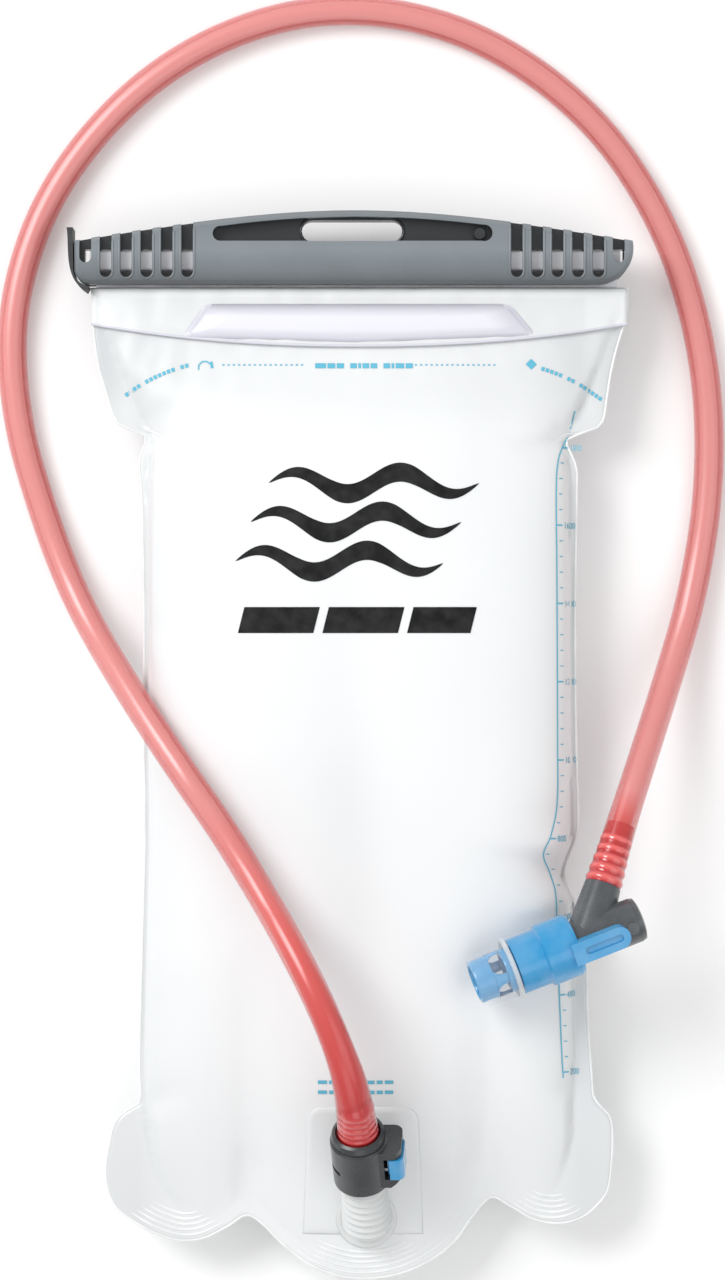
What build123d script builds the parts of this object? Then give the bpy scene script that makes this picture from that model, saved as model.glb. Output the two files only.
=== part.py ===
from build123d import *
import math
import os

# Soft two-litre water reservoir lying on its back, front panel up. Millimetres.
# X runs across the bag, Y up the bag towards the slide seal, Z out of the table.
# The origin is on the table, under the middle of the bag.

# ---- driving dimensions -----------------------------------------------------------------
SEAM_Z = 20.0            # height of the welded seam between the two film panels
FILM = 1.0               # film wall
LAYER = 0.8              # each welded layer that lies on the film
WELD_THICKNESS = 1.2     # the two films welded together round the edge
SECTION_POWER = 2.6      # fullness of the bag's cross-section, 2 is an ellipse
SECTION_STEPS = 8        # spans of each half-section's spline

# station along Y, half width, height of the front panel, depth of the back panel
BAG_STATIONS = [
    (-167, 18, 1.2, 1.2),
    (-160, 30, 4.0, 4.5),
    (-150, 42, 7.2, 9.5),
    (-138, 62, 10.2, 14.0),
    (-122, 71, 13.5, 18.5),
    (-95, 71, 18.2, 21.6),
    (-60, 70.5, 20.0, 22.0),
    (0, 70, 20.0, 22.0),
    (50, 70, 19.6, 22.0),
    (85, 69.5, 16.5, 20.0),
    (105, 69.5, 12.0, 14.0),
    (128, 79, 6.2, 6.5),
    (153.5, 87, 1.6, 1.6),
]
WATER_END = 0.6          # last height of the water space, where the films meet
BAFFLE_HALF = 0.4        # half thickness of the web between the panels
BAFFLE_LOW, BAFFLE_HIGH = -105.0, 70.0
BAFFLE_HOLE, BAFFLE_HOLE_PITCH = 8.0, 35
FLAP_TOP = 153.0
PLATE_WIDTH, PLATE_HEIGHT, PLATE_Y = 150.0, 14.0, 144.5    # stiff plate behind the mouth

RAIL_LEFT, RAIL_RIGHT = -90.0, 87.5
RAIL_BOTTOM, RAIL_TOP = 159.0, 165.6
RAIL_HALF = 3.2          # half thickness of the rail's head
NECK_HALF = 0.9
MOUTH_END = 153.5        # where the panels end and the rail's neck begins

SLIDE_LEFT, SLIDE_RIGHT = -95.0, 91.4
SLIDE_BOTTOM, SLIDE_END_TOP, SLIDE_TOP = 154.2, 168.8, 178.9
SLIDE_HALF = 7.5         # half thickness of the slide bar
SLIDE_CLEAR = 0.5        # clearance round the rail
SLIDE_FLOOR = 22.0       # height of the floor of the handle recess and grip slots
GRIP_PITCH, GRIP_WIDTH, GRIP_COUNT = 6.8, 4.0, 6
GRIP_LEFT, GRIP_RIGHT = -57.3, 52.7
GRIP_BOTTOM = 156.4
PEG_X, PEG_Y, PEG_RADIUS = 40.4, 171.2, 2.3
PEG_HEIGHT, PEG_PIN = 3.6, 1.5
WINDOW_X, WINDOW_Y, WINDOW_LENGTH, WINDOW_WIDTH = -2.3, 172.3, 34.6, 7.6
LIP_HALF = 6.5           # half height of the dark end lip

PORT_BASE = Vector(2.5, -156, 28)      # middle of the boot on the front panel
PORT_AXIS = Vector(-0.07, 0.763, 0.643).normalized()
BOOT_RADIUS, BOOT_WALL = 8.6, 1.3
BOOT_FLANGE, OUTLET_RADIUS = 10.0, 5.5
CUFF_RADIUS = 7.0
SOCKET_RADIUS, SOCKET_BORE = 5.6, 4.4
SOCKET_START, SOCKET_END = 9.5, 32.0
BELLOWS_START, BELLOWS_RINGS, BELLOWS_PITCH = 2.6, 3, 3.2
BELLOWS_END = BELLOWS_START + BELLOWS_RINGS * BELLOWS_PITCH
COUPLING_RADIUS, COUPLING_START, COUPLING_END = 9.5, 18.6, 37.0
COUPLING_BORE = 6.2
LUG_REACH, LUG_HALF, LUG_SLOPE = 14.2, 6.6, 4.0
POCKET_LOW, POCKET_HIGH, POCKET_HALF = 24.0, 33.4, 4.5
BUTTON_GAP, BUTTON_PROUD = 0.3, 0.7
BUTTON_SPRING_Z = 30.4
STEM_RADIUS, STEM_BORE = 4.32, 1.9
LATCH_Z, LATCH_THICKNESS = 26.2, 1.2
LATCH_HALF, LATCH_WIDE_END, LATCH_NECK_HALF = 7.0, 5.6, 4.6
LATCH_CLEAR = 0.2
BUTTON_TRAVEL = 1.5

HOSE_DIAMETER, HOSE_BORE = 10.0, 6.4
BARB_CORE, BARB_TIP = 2.6, 3.15
BARB_COUNT, BARB_PITCH = 3, 3.2
HOSE_GAP = 0.05          # between the hose's ends and the shoulders they butt against
LARGEST_ARC = 0.45       # share of the shorter run that each of the route's arcs may use

ELBOW = Vector(75, -63, 46)              # where the valve's barrel and leg axes meet
BARREL_AXIS = Vector(-0.929, -0.356, 0.10).normalized()
LEG_AXIS = Vector(0.297, 0.913, -0.28).normalized()
LEG_LENGTH = 18.8
BARREL_RADIUS, BARREL_BORE = 7.5, 5.2
BARREL_REAR, SPIGOT_END, SPIGOT_RADIUS = -17.0, 23.0, 6.8
COLLAR_RADIUS, RING_RADIUS, COLLAR_BORE = 10.5, 9.45, 7.1
COLLAR_REAR, COLLAR_STEP, COLLAR_END = 4.2, 16.1, 25.4
CORE_RADIUS, CORE_END = 7.4, 38.2
SHEATH_RADIUS, SHEATH_END, SHEATH_FLANGE = 9.2, 40.0, 10.7
LEVER_TILT = 14.0        # degrees that the lever leans from straight up towards -Y
LEVER_HALF, LEVER_UNDER, LEVER_TOP, LEVER_REAR = 3.8, 8.1, 11.9, -12.6
BOSS_Z, BOSS_RADIUS = -14.7, 2.1
WATERWAY = 3.3           # radius of the bore through the turning plug

# Centreline of the drinking hose, from the coupling round the loop to the valve.
HOSE_POINTS = [
    (-0.1, -127.8, 51.8),
    (-1.5, -112.5, 64.7),
    (-6.5, -96.5, 70.7),
    (-13.5, -80, 70.5),
    (-22.5, -63, 64.0),
    (-32, -47.5, 53.0),
    (-44.5, -27.5, 46.5),
    (-58, -8.5, 45.0),
    (-76, 17.5, 30.0),
    (-93.5, 45, 10.0),
    (-105, 72, 5.0),
    (-117, 112, 5.0),
    (-118, 152, 5.0),
    (-102, 194, 5.0),
    (-65.5, 232, 5.0),
    (-17, 251, 5.0),
    (33, 245, 5.0),
    (76.5, 217, 5.0),
    (103.5, 178, 5.0),
    (117, 135, 5.0),
    (119.5, 92, 5.0),
    (113.5, 51.5, 5.0),
    (103, 19, 14.5),
    (93.2, -8.5, 28.5),
    (87.1, -25.7, 34.6),
]

BIG = 400.0              # larger than the whole object, for cutting solids


# ---- frames and helpers -----------------------------------------------------------------
def across(axis):
    """A unit vector square to axis, lying in the XZ plane."""
    return Vector(axis.Z, 0, -axis.X).normalized()


PORT = Plane(origin=PORT_BASE, x_dir=across(PORT_AXIS), z_dir=PORT_AXIS)
UP_FROM_BARREL = (Vector(0, 0, 1) - BARREL_AXIS * BARREL_AXIS.Z).normalized()
SIDE_OF_BARREL = BARREL_AXIS.cross(UP_FROM_BARREL)
LEVER_DIRECTION = (
    UP_FROM_BARREL * math.cos(math.radians(LEVER_TILT))
    - SIDE_OF_BARREL * math.sin(math.radians(LEVER_TILT))
)
VALVE = Plane(origin=ELBOW, x_dir=LEVER_DIRECTION, z_dir=BARREL_AXIS)
LEG = Plane(origin=ELBOW, x_dir=across(LEG_AXIS), z_dir=LEG_AXIS)


def turned(points):
    """A solid of revolution about local Z, from (radius, height) points."""
    outline = make_face(Polyline(*points, close=True))
    return revolve(Plane.XZ * outline, axis=Axis.Z)


def ring(outer, inner, low, high):
    """A plain tube about local Z."""
    return turned([(inner, low), (outer, low), (outer, high), (inner, high)])


def rod(radius, low, high):
    """A plain cylinder about local Z."""
    return Pos(0, 0, low) * Cylinder(radius, high - low, align=(Align.CENTER, Align.CENTER, Align.MIN))


def block(x0, x1, y0, y1, z0, z1):
    """A box between two corners."""
    centre = Pos((x0 + x1) / 2, (y0 + y1) / 2, (z0 + z1) / 2)
    return centre * Box(x1 - x0, y1 - y0, z1 - z0)


def place(plane, shape):
    """Move a shape made about local Z into one of the slanted frames."""
    return plane.location * shape


def prism(outline, low, high):
    """An outline in plan, extruded between two heights."""
    return Pos(0, 0, low) * extrude(outline, high - low)


def coil(radius, wire, length, turns):
    """A compression spring about local Z, standing on zero."""
    path = Helix(pitch=(length - wire) / turns, height=length - wire, radius=radius)
    section = Plane(origin=path @ 0, z_dir=path % 0) * Circle(wire / 2)
    return Pos(0, 0, wire / 2) * sweep(section, path=path, is_frenet=True)


# ---- the bag ----------------------------------------------------------------------------
def half_section(station, half_width, height, side):
    """Half of the bag's cross-section at one station, closed along the seam plane."""
    points = []
    for step in range(SECTION_STEPS + 1):
        angle = math.pi * step / SECTION_STEPS
        reach = abs(math.cos(angle)) ** (2 / SECTION_POWER)
        rise = abs(math.sin(angle)) ** (2 / SECTION_POWER)
        x = math.copysign(half_width * reach, math.cos(angle))
        points.append(Vector(x, station, SEAM_Z + side * height * rise))
    crown = Spline(*points)
    return make_face([crown, Line(points[-1], points[0])])


def half_bag(side, grow=0.0):
    """The solid inside one panel's outer face, grown outwards by a layer's thickness."""
    sections = []
    for station, half_width, front, back in BAG_STATIONS:
        height = front if side > 0 else back
        sections.append(half_section(station, half_width + grow, height + grow, side))
    return loft(sections)


def half_water(side):
    """The water space behind one panel."""
    sections = []
    for station, half_width, front, back in BAG_STATIONS[1:]:
        height = max((front if side > 0 else back) - FILM, WATER_END)
        sections.append(half_section(station, half_width - FILM, height, side))
    return loft(sections)


def above(height, solid):
    """The part of a solid above one height."""
    return solid & block(-BIG, BIG, -BIG, BIG, height, BIG)


FRONT = half_bag(1)
FRONT_1 = half_bag(1, LAYER)
FRONT_2 = half_bag(1, 2 * LAYER)
BACK = above(0, half_bag(-1))
WATER_FRONT = half_water(1)
WATER_BACK = above(FILM, half_water(-1))
PORT_HOLE = Pos(PORT_BASE.X, PORT_BASE.Y, SEAM_Z) * rod(OUTLET_RADIUS, 0, 30)


def front_film():
    return FRONT - WATER_FRONT - PORT_HOLE


def back_film():
    return BACK - WATER_BACK


def weld_outline():
    """The flat outline of the weld: flared mouth, pinched neck, three scallops at the foot."""
    neck = [(-89.5, 153.5), (-88.5, 132), (-83, 113), (-73.5, 104), (-73.5, 90)]
    right_neck = [(-x, y) for x, y in reversed(neck)]
    left_side = Spline(*neck, tangents=[(0, -1), (0, -1)])
    right_side = Spline(*right_neck, tangents=[(0, 1), (0, 1)])
    left_edge = Line((-73.5, 90), (-74.5, -120))
    right_edge = Line((75.5, -118), (73.5, 90))
    left_foot = Spline((-74.5, -120), (-84.5, -144), (-60, -166), (-38, -157.5))
    middle_foot = Spline((-38, -157.5), (-24.5, -170), (-3, -178.6), (27, -171), (43, -151.5))
    right_foot = Spline((43, -151.5), (66, -160.5), (84, -144), (75.5, -118))
    mouth = Line((89.5, 153.5), (-89.5, 153.5))
    edges = [left_side, left_edge, left_foot, middle_foot, right_foot, right_edge, right_side, mouth]
    return make_face(edges)


def perimeter_weld():
    half = WELD_THICKNESS / 2
    plate = prism(weld_outline(), SEAM_Z - half, SEAM_Z + half)
    return plate - FRONT - BACK


def centre_baffle():
    """A web that ties the two panels together, with holes that let water across."""
    web = block(-BAFFLE_HALF, BAFFLE_HALF, BAFFLE_LOW, BAFFLE_HIGH, 0, 2 * SEAM_Z)
    for y in range(-80, 61, BAFFLE_HOLE_PITCH):
        web -= Pos(0, y, SEAM_Z) * Rot(0, 90, 0) * Cylinder(BAFFLE_HOLE, 4)
    return (web & WATER_FRONT) + (web & WATER_BACK)


def seal_rail():
    """The bead that the slide bar grips, on a flat neck welded to both panels."""
    head = block(RAIL_LEFT, RAIL_RIGHT, RAIL_BOTTOM, RAIL_TOP, SEAM_Z - RAIL_HALF, SEAM_Z + RAIL_HALF)
    head = fillet(head.edges().filter_by(Axis.X), 1.0)
    neck_low, neck_high = SEAM_Z - NECK_HALF, SEAM_Z + NECK_HALF
    neck = block(RAIL_LEFT + 2, RAIL_RIGHT - 1, MOUTH_END, RAIL_BOTTOM, neck_low, neck_high)
    return head + neck


def flap_outline():
    lower = Spline((-90, 141), (-58, 136.2), (0, 133.6), (58, 136.2), (90, 142))
    return make_face([
        Line((-90, FLAP_TOP), (-90, 141)),
        lower,
        Line((90, 142), (90, FLAP_TOP)),
        Line((90, FLAP_TOP), (-90, FLAP_TOP)),
    ])


def mouth_flap():
    """The top of the front panel, folded forward over itself."""
    return (FRONT_1 - FRONT) & prism(flap_outline(), SEAM_Z + WELD_THICKNESS / 2, 2 * SEAM_Z)


def front_stiffener():
    """A stiff tapered plate welded on the flap."""
    plate = make_face(Polyline((-58, 137.5), (-51, 147.5), (50, 147.5), (59, 138), (0, 135.4), close=True))
    return (FRONT_2 - FRONT_1) & prism(plate, SEAM_Z, 2 * SEAM_Z)


def back_stiffener():
    """A plain stiff plate behind the mouth."""
    grown = half_bag(-1, LAYER)
    plate = Pos(0, PLATE_Y) * RectangleRounded(PLATE_WIDTH, PLATE_HEIGHT, 3)
    return (grown - half_bag(-1)) & prism(plate, 0, SEAM_Z - WELD_THICKNESS / 2)


def port_patch():
    """Reinforcement welded round the outlet, a little wider at the foot."""
    corners = [(-17.5, -119.5), (19.5, -119.5), (21, -163), (-17.5, -163)]
    outline = make_face(Polyline(*corners, close=True))
    outline = fillet(outline.vertices(), 4.5)
    return ((FRONT_1 - FRONT) & prism(outline, SEAM_Z, 2 * SEAM_Z)) - PORT_HOLE


# ---- the outlet, in its own slanted frame -----------------------------------------------
def bellows_profile(wall):
    """Rings of the bellows, offset inwards by wall."""
    points = [(0, 0), (7.2 - wall, 0)]
    for index in range(BELLOWS_RINGS):
        low = BELLOWS_START + index * BELLOWS_PITCH
        valley, crest = CUFF_RADIUS - wall, CUFF_RADIUS + 1 - wall
        points += [(valley, low), (crest, low + 0.8), (crest, low + 1.7), (valley, low + 2.5)]
    points += [(CUFF_RADIUS - wall, BELLOWS_END), (0, BELLOWS_END)]
    return points


def port_bellows():
    """A flexible boot: welded flange, dome, rings and the cuff that grips the socket."""
    cuff = rod(CUFF_RADIUS, BELLOWS_END, COUPLING_START - 0.4)
    outer = Sphere(BOOT_RADIUS) + turned(bellows_profile(0)) + cuff
    throat = rod(SOCKET_RADIUS, BELLOWS_END - 1, BIG)
    inner = Sphere(BOOT_RADIUS - BOOT_WALL) + turned(bellows_profile(1.1)) + throat
    boot = above(SEAM_Z + WELD_THICKNESS, place(PORT, outer)) - FRONT_1
    disc = Pos(PORT_BASE.X, PORT_BASE.Y, SEAM_Z + WELD_THICKNESS) * rod(BOOT_FLANGE, 0, SEAM_Z)
    flange = (FRONT_2 - FRONT_1) & disc
    return boot + (flange - PORT_HOLE) - place(PORT, inner)


def port_socket():
    """The rigid outlet tube, with a groove for the latch and a seat for the poppet."""
    tube = ring(SOCKET_RADIUS, SOCKET_BORE, SOCKET_START, SOCKET_END)
    seat = ring(SOCKET_BORE, 3.2, 20.6, 21.6)
    ledge = ring(SOCKET_BORE, 2.0, SOCKET_START, SOCKET_START + 1)
    groove = ring(SOCKET_RADIUS + 1, SOCKET_RADIUS - 0.6, LATCH_Z - 0.5, LATCH_Z + LATCH_THICKNESS + 0.5)
    return place(PORT, tube + seat + ledge - groove)


def poppet_valve():
    """The disc that shuts the outlet when the plug is pulled."""
    disc = turned([(0, 15.6), (3.9, 15.6), (3.9, 16.6), (3.0, 17.4), (0, 17.4)])
    return place(PORT, disc + rod(1.5, 17.4, 22.0))


def poppet_spring():
    return place(PORT, Pos(0, 0, SOCKET_START + 1.05) * coil(3.0, 0.6, 5.0, 4))


# ---- the quick-release coupling ---------------------------------------------------------
def coupling_body():
    """Barrel with a lug for the button, and the slot that the latch plate slides in."""
    barrel = rod(COUPLING_RADIUS, COUPLING_START, COUPLING_END)
    barrel = chamfer(barrel.edges().sort_by(Axis.Z)[-1], 0.6)
    low, high = COUPLING_START + 1.6, COUPLING_END - 0.6
    lug = block(0, LUG_REACH, -LUG_HALF, LUG_HALF, low, high)
    lug = fillet(lug.edges().filter_by(Axis.Z).sort_by(Axis.X)[-2:], 3.0)
    slope = make_face(Polyline(
        (LUG_REACH - LUG_SLOPE, low), (LUG_REACH + 1, low), (LUG_REACH + 1, low + LUG_SLOPE),
        (LUG_REACH, low + LUG_SLOPE), close=True,
    ))
    lug -= extrude(Plane.XZ * slope, 2 * LUG_HALF, both=True)
    shell = barrel + lug
    shell -= rod(COUPLING_BORE, COUPLING_START - 1, 35.3)
    shell -= rod(4.75, 35, COUPLING_END + 1)
    slot_low, slot_high = LATCH_Z - LATCH_CLEAR, LATCH_Z + LATCH_THICKNESS + LATCH_CLEAR
    wide, neck = LATCH_HALF + LATCH_CLEAR, LATCH_NECK_HALF + LATCH_CLEAR
    shell -= block(-12, LATCH_WIDE_END + LATCH_CLEAR, -wide, wide, slot_low, slot_high)
    shell -= block(0, 9.6, -neck, neck, slot_low, slot_high)
    shell -= block(7.6, LUG_REACH + 1, -POCKET_HALF, POCKET_HALF, POCKET_LOW, POCKET_HIGH)
    shell -= block(8.4, LUG_REACH + 1, -LUG_HALF - 1, POCKET_HALF, POCKET_LOW, POCKET_HIGH)
    return place(PORT, shell)


def hose_collar():
    """The loose ring round the hose's end."""
    outline = [(7.1, 37.05), (8.8, 37.05), (9.1, 38.2), (8.6, 39.8), (7.6, 40.3), (7.1, 39.8)]
    return place(PORT, turned(outline))


def barbs(start):
    """A barbed tail with saw-tooth rings, starting at one height on local Z."""
    points = [(STEM_BORE, start), (BARB_CORE, start)]
    for index in range(BARB_COUNT):
        low = start + 1.2 + index * BARB_PITCH
        points += [(BARB_CORE, low), (BARB_TIP, low), (BARB_CORE, low + BARB_PITCH - 0.4)]
    end = start + 1.2 + BARB_COUNT * BARB_PITCH
    points += [(BARB_CORE, end), (STEM_BORE, end)]
    return turned(points)


def plug_stem():
    """The spigot that enters the socket, its shoulder, and the tail in the hose."""
    spigot = ring(STEM_RADIUS, STEM_BORE, 22.2, 33.5)
    spigot -= ring(STEM_RADIUS + 1, 2.95, 24.2, 25.8)
    shoulder = ring(6.0, STEM_BORE, 33.5, 35.25)
    neck = ring(4.6, STEM_BORE, 35.25, COUPLING_END)
    bar = block(-STEM_BORE, STEM_BORE, -0.5, 0.5, 22.2, 23.2)
    return place(PORT, spigot + shoulder + neck + barbs(COUPLING_END) + bar)


def plug_o_ring():
    return place(PORT, Pos(0, 0, 25.0) * Torus(3.66, 0.65))


def release_button():
    """The thumb button that wraps the lug's upper corner, hollow behind for its spring."""
    low, high = POCKET_LOW + BUTTON_GAP, POCKET_HIGH - BUTTON_GAP
    near, far = -LUG_HALF - BUTTON_GAP, POCKET_HALF - BUTTON_GAP
    cap = block(10.2, LUG_REACH + BUTTON_PROUD, near, far, low, high)
    cap = fillet(cap.edges().filter_by(Axis.Z).sort_by(Axis.X)[-2:], 2.4)
    core = block(9.3, 11.0, -far, far, low, high)
    hollow = Pos(9.0, 0, BUTTON_SPRING_Z) * Rot(0, 90, 0) * rod(1.7, 0, 3.8)
    return place(PORT, cap + core - hollow)


def latch_plate():
    """A flat plate round the socket that slides with the button."""
    top = LATCH_Z + LATCH_THICKNESS
    plate = block(-8.0, LATCH_WIDE_END, -LATCH_HALF, LATCH_HALF, LATCH_Z, top)
    plate = fillet(plate.edges().filter_by(Axis.Z).sort_by(Axis.X)[:2], 4.2)
    plate += block(0, 9.28, -LATCH_NECK_HALF, LATCH_NECK_HALF, LATCH_Z, top)
    hole = rod(5.8, LATCH_Z - 1, top + 1) + Pos(BUTTON_TRAVEL, 0, 0) * rod(5.8, LATCH_Z - 1, top + 1)
    return place(PORT, plate - hole)


def button_spring():
    spring = Pos(7.65, 0, BUTTON_SPRING_Z) * Rot(0, 90, 0) * coil(1.2, 0.4, 5.0, 5)
    return place(PORT, spring)


# ---- the hose ---------------------------------------------------------------------------
def hose_path():
    """Straight runs joined by the largest arcs that fit, with each arc's radius."""
    points = [Vector(*point) for point in HOSE_POINTS]
    points[0] = PORT_BASE + PORT_AXIS * (COUPLING_END + HOSE_GAP)
    points.append(ELBOW + LEG_AXIS * (LEG_LENGTH + HOSE_GAP))
    radii = []
    for before, here, after in zip(points, points[1:], points[2:]):
        turn = (here - before).get_angle(after - here)
        shorter = min((here - before).length, (after - here).length)
        radii.append(LARGEST_ARC * shorter / math.tan(math.radians(turn / 2)))
    return FilletPolyline(*points, radius=radii), radii


def drink_tube():
    path, radii = hose_path()
    print("hose radii", [round(radius, 1) for radius in radii])
    start = Plane(origin=path @ 0, z_dir=path % 0)
    section = start * (Circle(HOSE_DIAMETER / 2) - Circle(HOSE_BORE / 2))
    tube = sweep(section, path=path)
    area = math.pi * (HOSE_DIAMETER ** 2 - HOSE_BORE ** 2) / 4
    ratio = tube.volume / (area * path.length)
    print("hose length", round(path.length, 1), "volume ratio", round(ratio, 4))
    return tube


# ---- the bite valve, in the frame of its barrel -----------------------------------------
def elbow_body():
    """Barrel and leg in one moulding, with a round boss and the hose tail."""
    barrel = rod(BARREL_RADIUS, BARREL_REAR, COLLAR_REAR - 0.4)
    barrel += rod(SPIGOT_RADIUS, COLLAR_REAR - 1, SPIGOT_END)
    boss = Pos(0, 0, BOSS_Z) * Rot(0, 90, 0) * rod(BOSS_RADIUS, 5, BARREL_RADIUS + 0.45)
    leg = Cone(BARREL_RADIUS, 6.1, LEG_LENGTH, align=(Align.CENTER, Align.CENTER, Align.MIN))
    body = place(VALVE, barrel + boss) + place(LEG, leg)
    body -= place(VALVE, rod(BARREL_BORE, BARREL_REAR - 1, SPIGOT_END + 1))
    body += place(LEG, barbs(LEG_LENGTH))
    body -= place(LEG, rod(STEM_BORE, 2, BIG))
    return body


def elbow_end_cap():
    """The cap that closes the barrel's rear end."""
    outline = [
        (0, -15.2), (5.15, -15.2), (5.15, -17.05), (BARREL_RADIUS, -17.05),
        (7.1, -18.6), (5.6, -19.2), (0, -19.2),
    ]
    return place(VALVE, turned(outline))


def shutoff_collar():
    """The turning collar with its lever bar."""
    outline = [
        (COLLAR_BORE, COLLAR_REAR), (9.9, COLLAR_REAR), (COLLAR_RADIUS, COLLAR_REAR + 1.2),
        (COLLAR_RADIUS, COLLAR_STEP - 0.8), (RING_RADIUS, COLLAR_STEP),
        (RING_RADIUS, COLLAR_END), (COLLAR_BORE, COLLAR_END),
    ]
    lever = block(LEVER_UNDER, LEVER_TOP, -LEVER_HALF, LEVER_HALF, LEVER_REAR, COLLAR_REAR + 3)
    lever = fillet(lever.edges().filter_by(Axis.X).sort_by(Axis.Z)[:2], LEVER_HALF - 0.2)
    groove = block(11.1, 13, -1.3, 1.3, -10.2, 3)
    groove = fillet(groove.edges().filter_by(Axis.X), 1.2)
    return place(VALVE, turned(outline) + (lever - groove - rod(COLLAR_BORE, 0, 20)))


def shutoff_spool():
    """The ported plug inside the barrel that turns with the collar."""
    radius = BARREL_BORE - 0.08
    plug = rod(radius, -14.8, SPIGOT_END) - rod(WATERWAY, -4, SPIGOT_END + 1) - ring(6, 4.3, 17, 18.6)
    flange = ring(COLLAR_BORE - 0.02, WATERWAY, SPIGOT_END + 0.3, COLLAR_END)
    web = ring(radius, WATERWAY, SPIGOT_END - 0.1, SPIGOT_END + 0.4)
    inlet = place(LEG, rod(2.4, 0, 12))
    return place(VALVE, plug + flange + web) - inlet


def spool_o_ring():
    return place(VALVE, Pos(0, 0, 17.8) * Torus(4.7, 0.38))


def mouthpiece_core():
    """The stiff cage inside the bite sheath, with windows in its wall."""
    cage = ring(CORE_RADIUS, 5.6, COLLAR_END + 0.02, CORE_END)
    for index in range(4):
        window = block(0, 12, -2.0, 2.0, 29.5, 34.5)
        cage -= Rot(0, 0, 45 + 90 * index) * window
    return place(VALVE, cage)


def bite_sheath():
    """The soft sleeve that is bitten, with its flange and an open tip."""
    outline = [
        (7.7, 25.8), (SHEATH_FLANGE, 25.8), (SHEATH_FLANGE, 27.4), (9.6, 28.4),
        (SHEATH_RADIUS, 33.0), (SHEATH_RADIUS - 0.2, SHEATH_END - 1.2), (SHEATH_RADIUS - 1.4, SHEATH_END),
        (5.2, SHEATH_END), (5.2, SHEATH_END - 1.3), (7.7, SHEATH_END - 1.3),
    ]
    return place(VALVE, turned(outline))


# ---- the slide seal ---------------------------------------------------------------------
def slide_outline():
    """Bowed top edge, square left end with a rounded foot, long swept corner at the right."""
    foot = 5.0
    return make_face([
        Spline(
            (SLIDE_LEFT, SLIDE_END_TOP), (-55, 174.9), (0, SLIDE_TOP), (52, 174.9),
            (SLIDE_RIGHT, SLIDE_END_TOP),
        ),
        ThreePointArc((SLIDE_RIGHT, SLIDE_END_TOP), (89, 158.6), (80.5, SLIDE_BOTTOM)),
        Line((80.5, SLIDE_BOTTOM), (SLIDE_LEFT + foot, SLIDE_BOTTOM)),
        ThreePointArc(
            (SLIDE_LEFT + foot, SLIDE_BOTTOM),
            (SLIDE_LEFT + 0.3 * foot, SLIDE_BOTTOM + 0.3 * foot),
            (SLIDE_LEFT, SLIDE_BOTTOM + foot),
        ),
        Line((SLIDE_LEFT, SLIDE_BOTTOM + foot), (SLIDE_LEFT, SLIDE_END_TOP)),
    ])


def handle_recess():
    """Plan of the long tapered recess above the channel."""
    return make_face([
        Line((-46, 168.6), (41, 168.6)),
        ThreePointArc((41, 168.6), (44.6, 171.2), (41.5, 174)),
        Spline((41.5, 174), (-2, 176.7), (-46, 173.6)),
        ThreePointArc((-46, 173.6), (-48.8, 171), (-46, 168.6)),
    ])


def slide_bar():
    """Moulded bar with a channel for the rail, a hang window, a recess and grip slots."""
    low, high = SEAM_Z - SLIDE_HALF, SEAM_Z + SLIDE_HALF
    bar = prism(slide_outline(), low, high)
    faces = bar.faces().sort_by(Axis.Z)
    bar = chamfer(faces[-1].edges() + faces[0].edges(), 1.4)
    head = RAIL_HALF + SLIDE_CLEAR
    left = RAIL_LEFT - 1.7
    bottom, top = RAIL_BOTTOM - SLIDE_CLEAR, RAIL_TOP + SLIDE_CLEAR
    bar -= block(left, BIG, bottom, top, SEAM_Z - head, SEAM_Z + head)
    bar -= block(left, BIG, 0, RAIL_BOTTOM, SEAM_Z - 2 * NECK_HALF, SEAM_Z + 2 * NECK_HALF)
    bar -= prism(handle_recess(), SLIDE_FLOOR, high + 1)
    window = Pos(WINDOW_X, WINDOW_Y) * SlotOverall(WINDOW_LENGTH, WINDOW_WIDTH)
    bar -= prism(window, low - 1, high + 1)
    for start, step in ((GRIP_LEFT, -GRIP_PITCH), (GRIP_RIGHT, GRIP_PITCH)):
        for index in range(GRIP_COUNT):
            x = start + index * step
            last = index == GRIP_COUNT - 1
            foot = GRIP_BOTTOM + 5 if last else GRIP_BOTTOM
            slot = Pos(x, foot + 15) * SlotOverall(30, GRIP_WIDTH, rotation=90)
            bar -= prism(slot, SEAM_Z + 3, high + 1)
            bar -= prism(slot, low - 1, SEAM_Z - 3)
    return bar - Pos(PEG_X, PEG_Y, 0) * rod(PEG_PIN + 0.05, 0, BIG)


def end_lip():
    """The dark lip that stops the rail at the closed end."""
    outline = make_face([
        Spline((-97.6, 173.2), (-97, 163), (-95.4, 156.4), (-91.2, 151.9)),
        Line((-91.2, 151.9), (-90.2, 153.6)),
        ThreePointArc((-90.2, 153.6), (-93.8, 155.4), (-95.4, 159.2)),
        Line((-95.4, 159.2), (-95.6, 173.2)),
        Line((-95.6, 173.2), (-97.6, 173.2)),
    ])
    return prism(outline, SEAM_Z - LIP_HALF, SEAM_Z + LIP_HALF) - prism(slide_outline(), 0, 2 * SEAM_Z)


def tether_peg():
    """A headed peg pressed through the bar, where a tether clips on."""
    foot = SLIDE_FLOOR + 0.02
    head = rod(PEG_RADIUS, foot, foot + PEG_HEIGHT)
    head = chamfer(head.edges().sort_by(Axis.Z)[-1], 0.5)
    return Pos(PEG_X, PEG_Y, 0) * (head + rod(PEG_PIN, SEAM_Z - SLIDE_HALF, SLIDE_FLOOR + 1))


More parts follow.
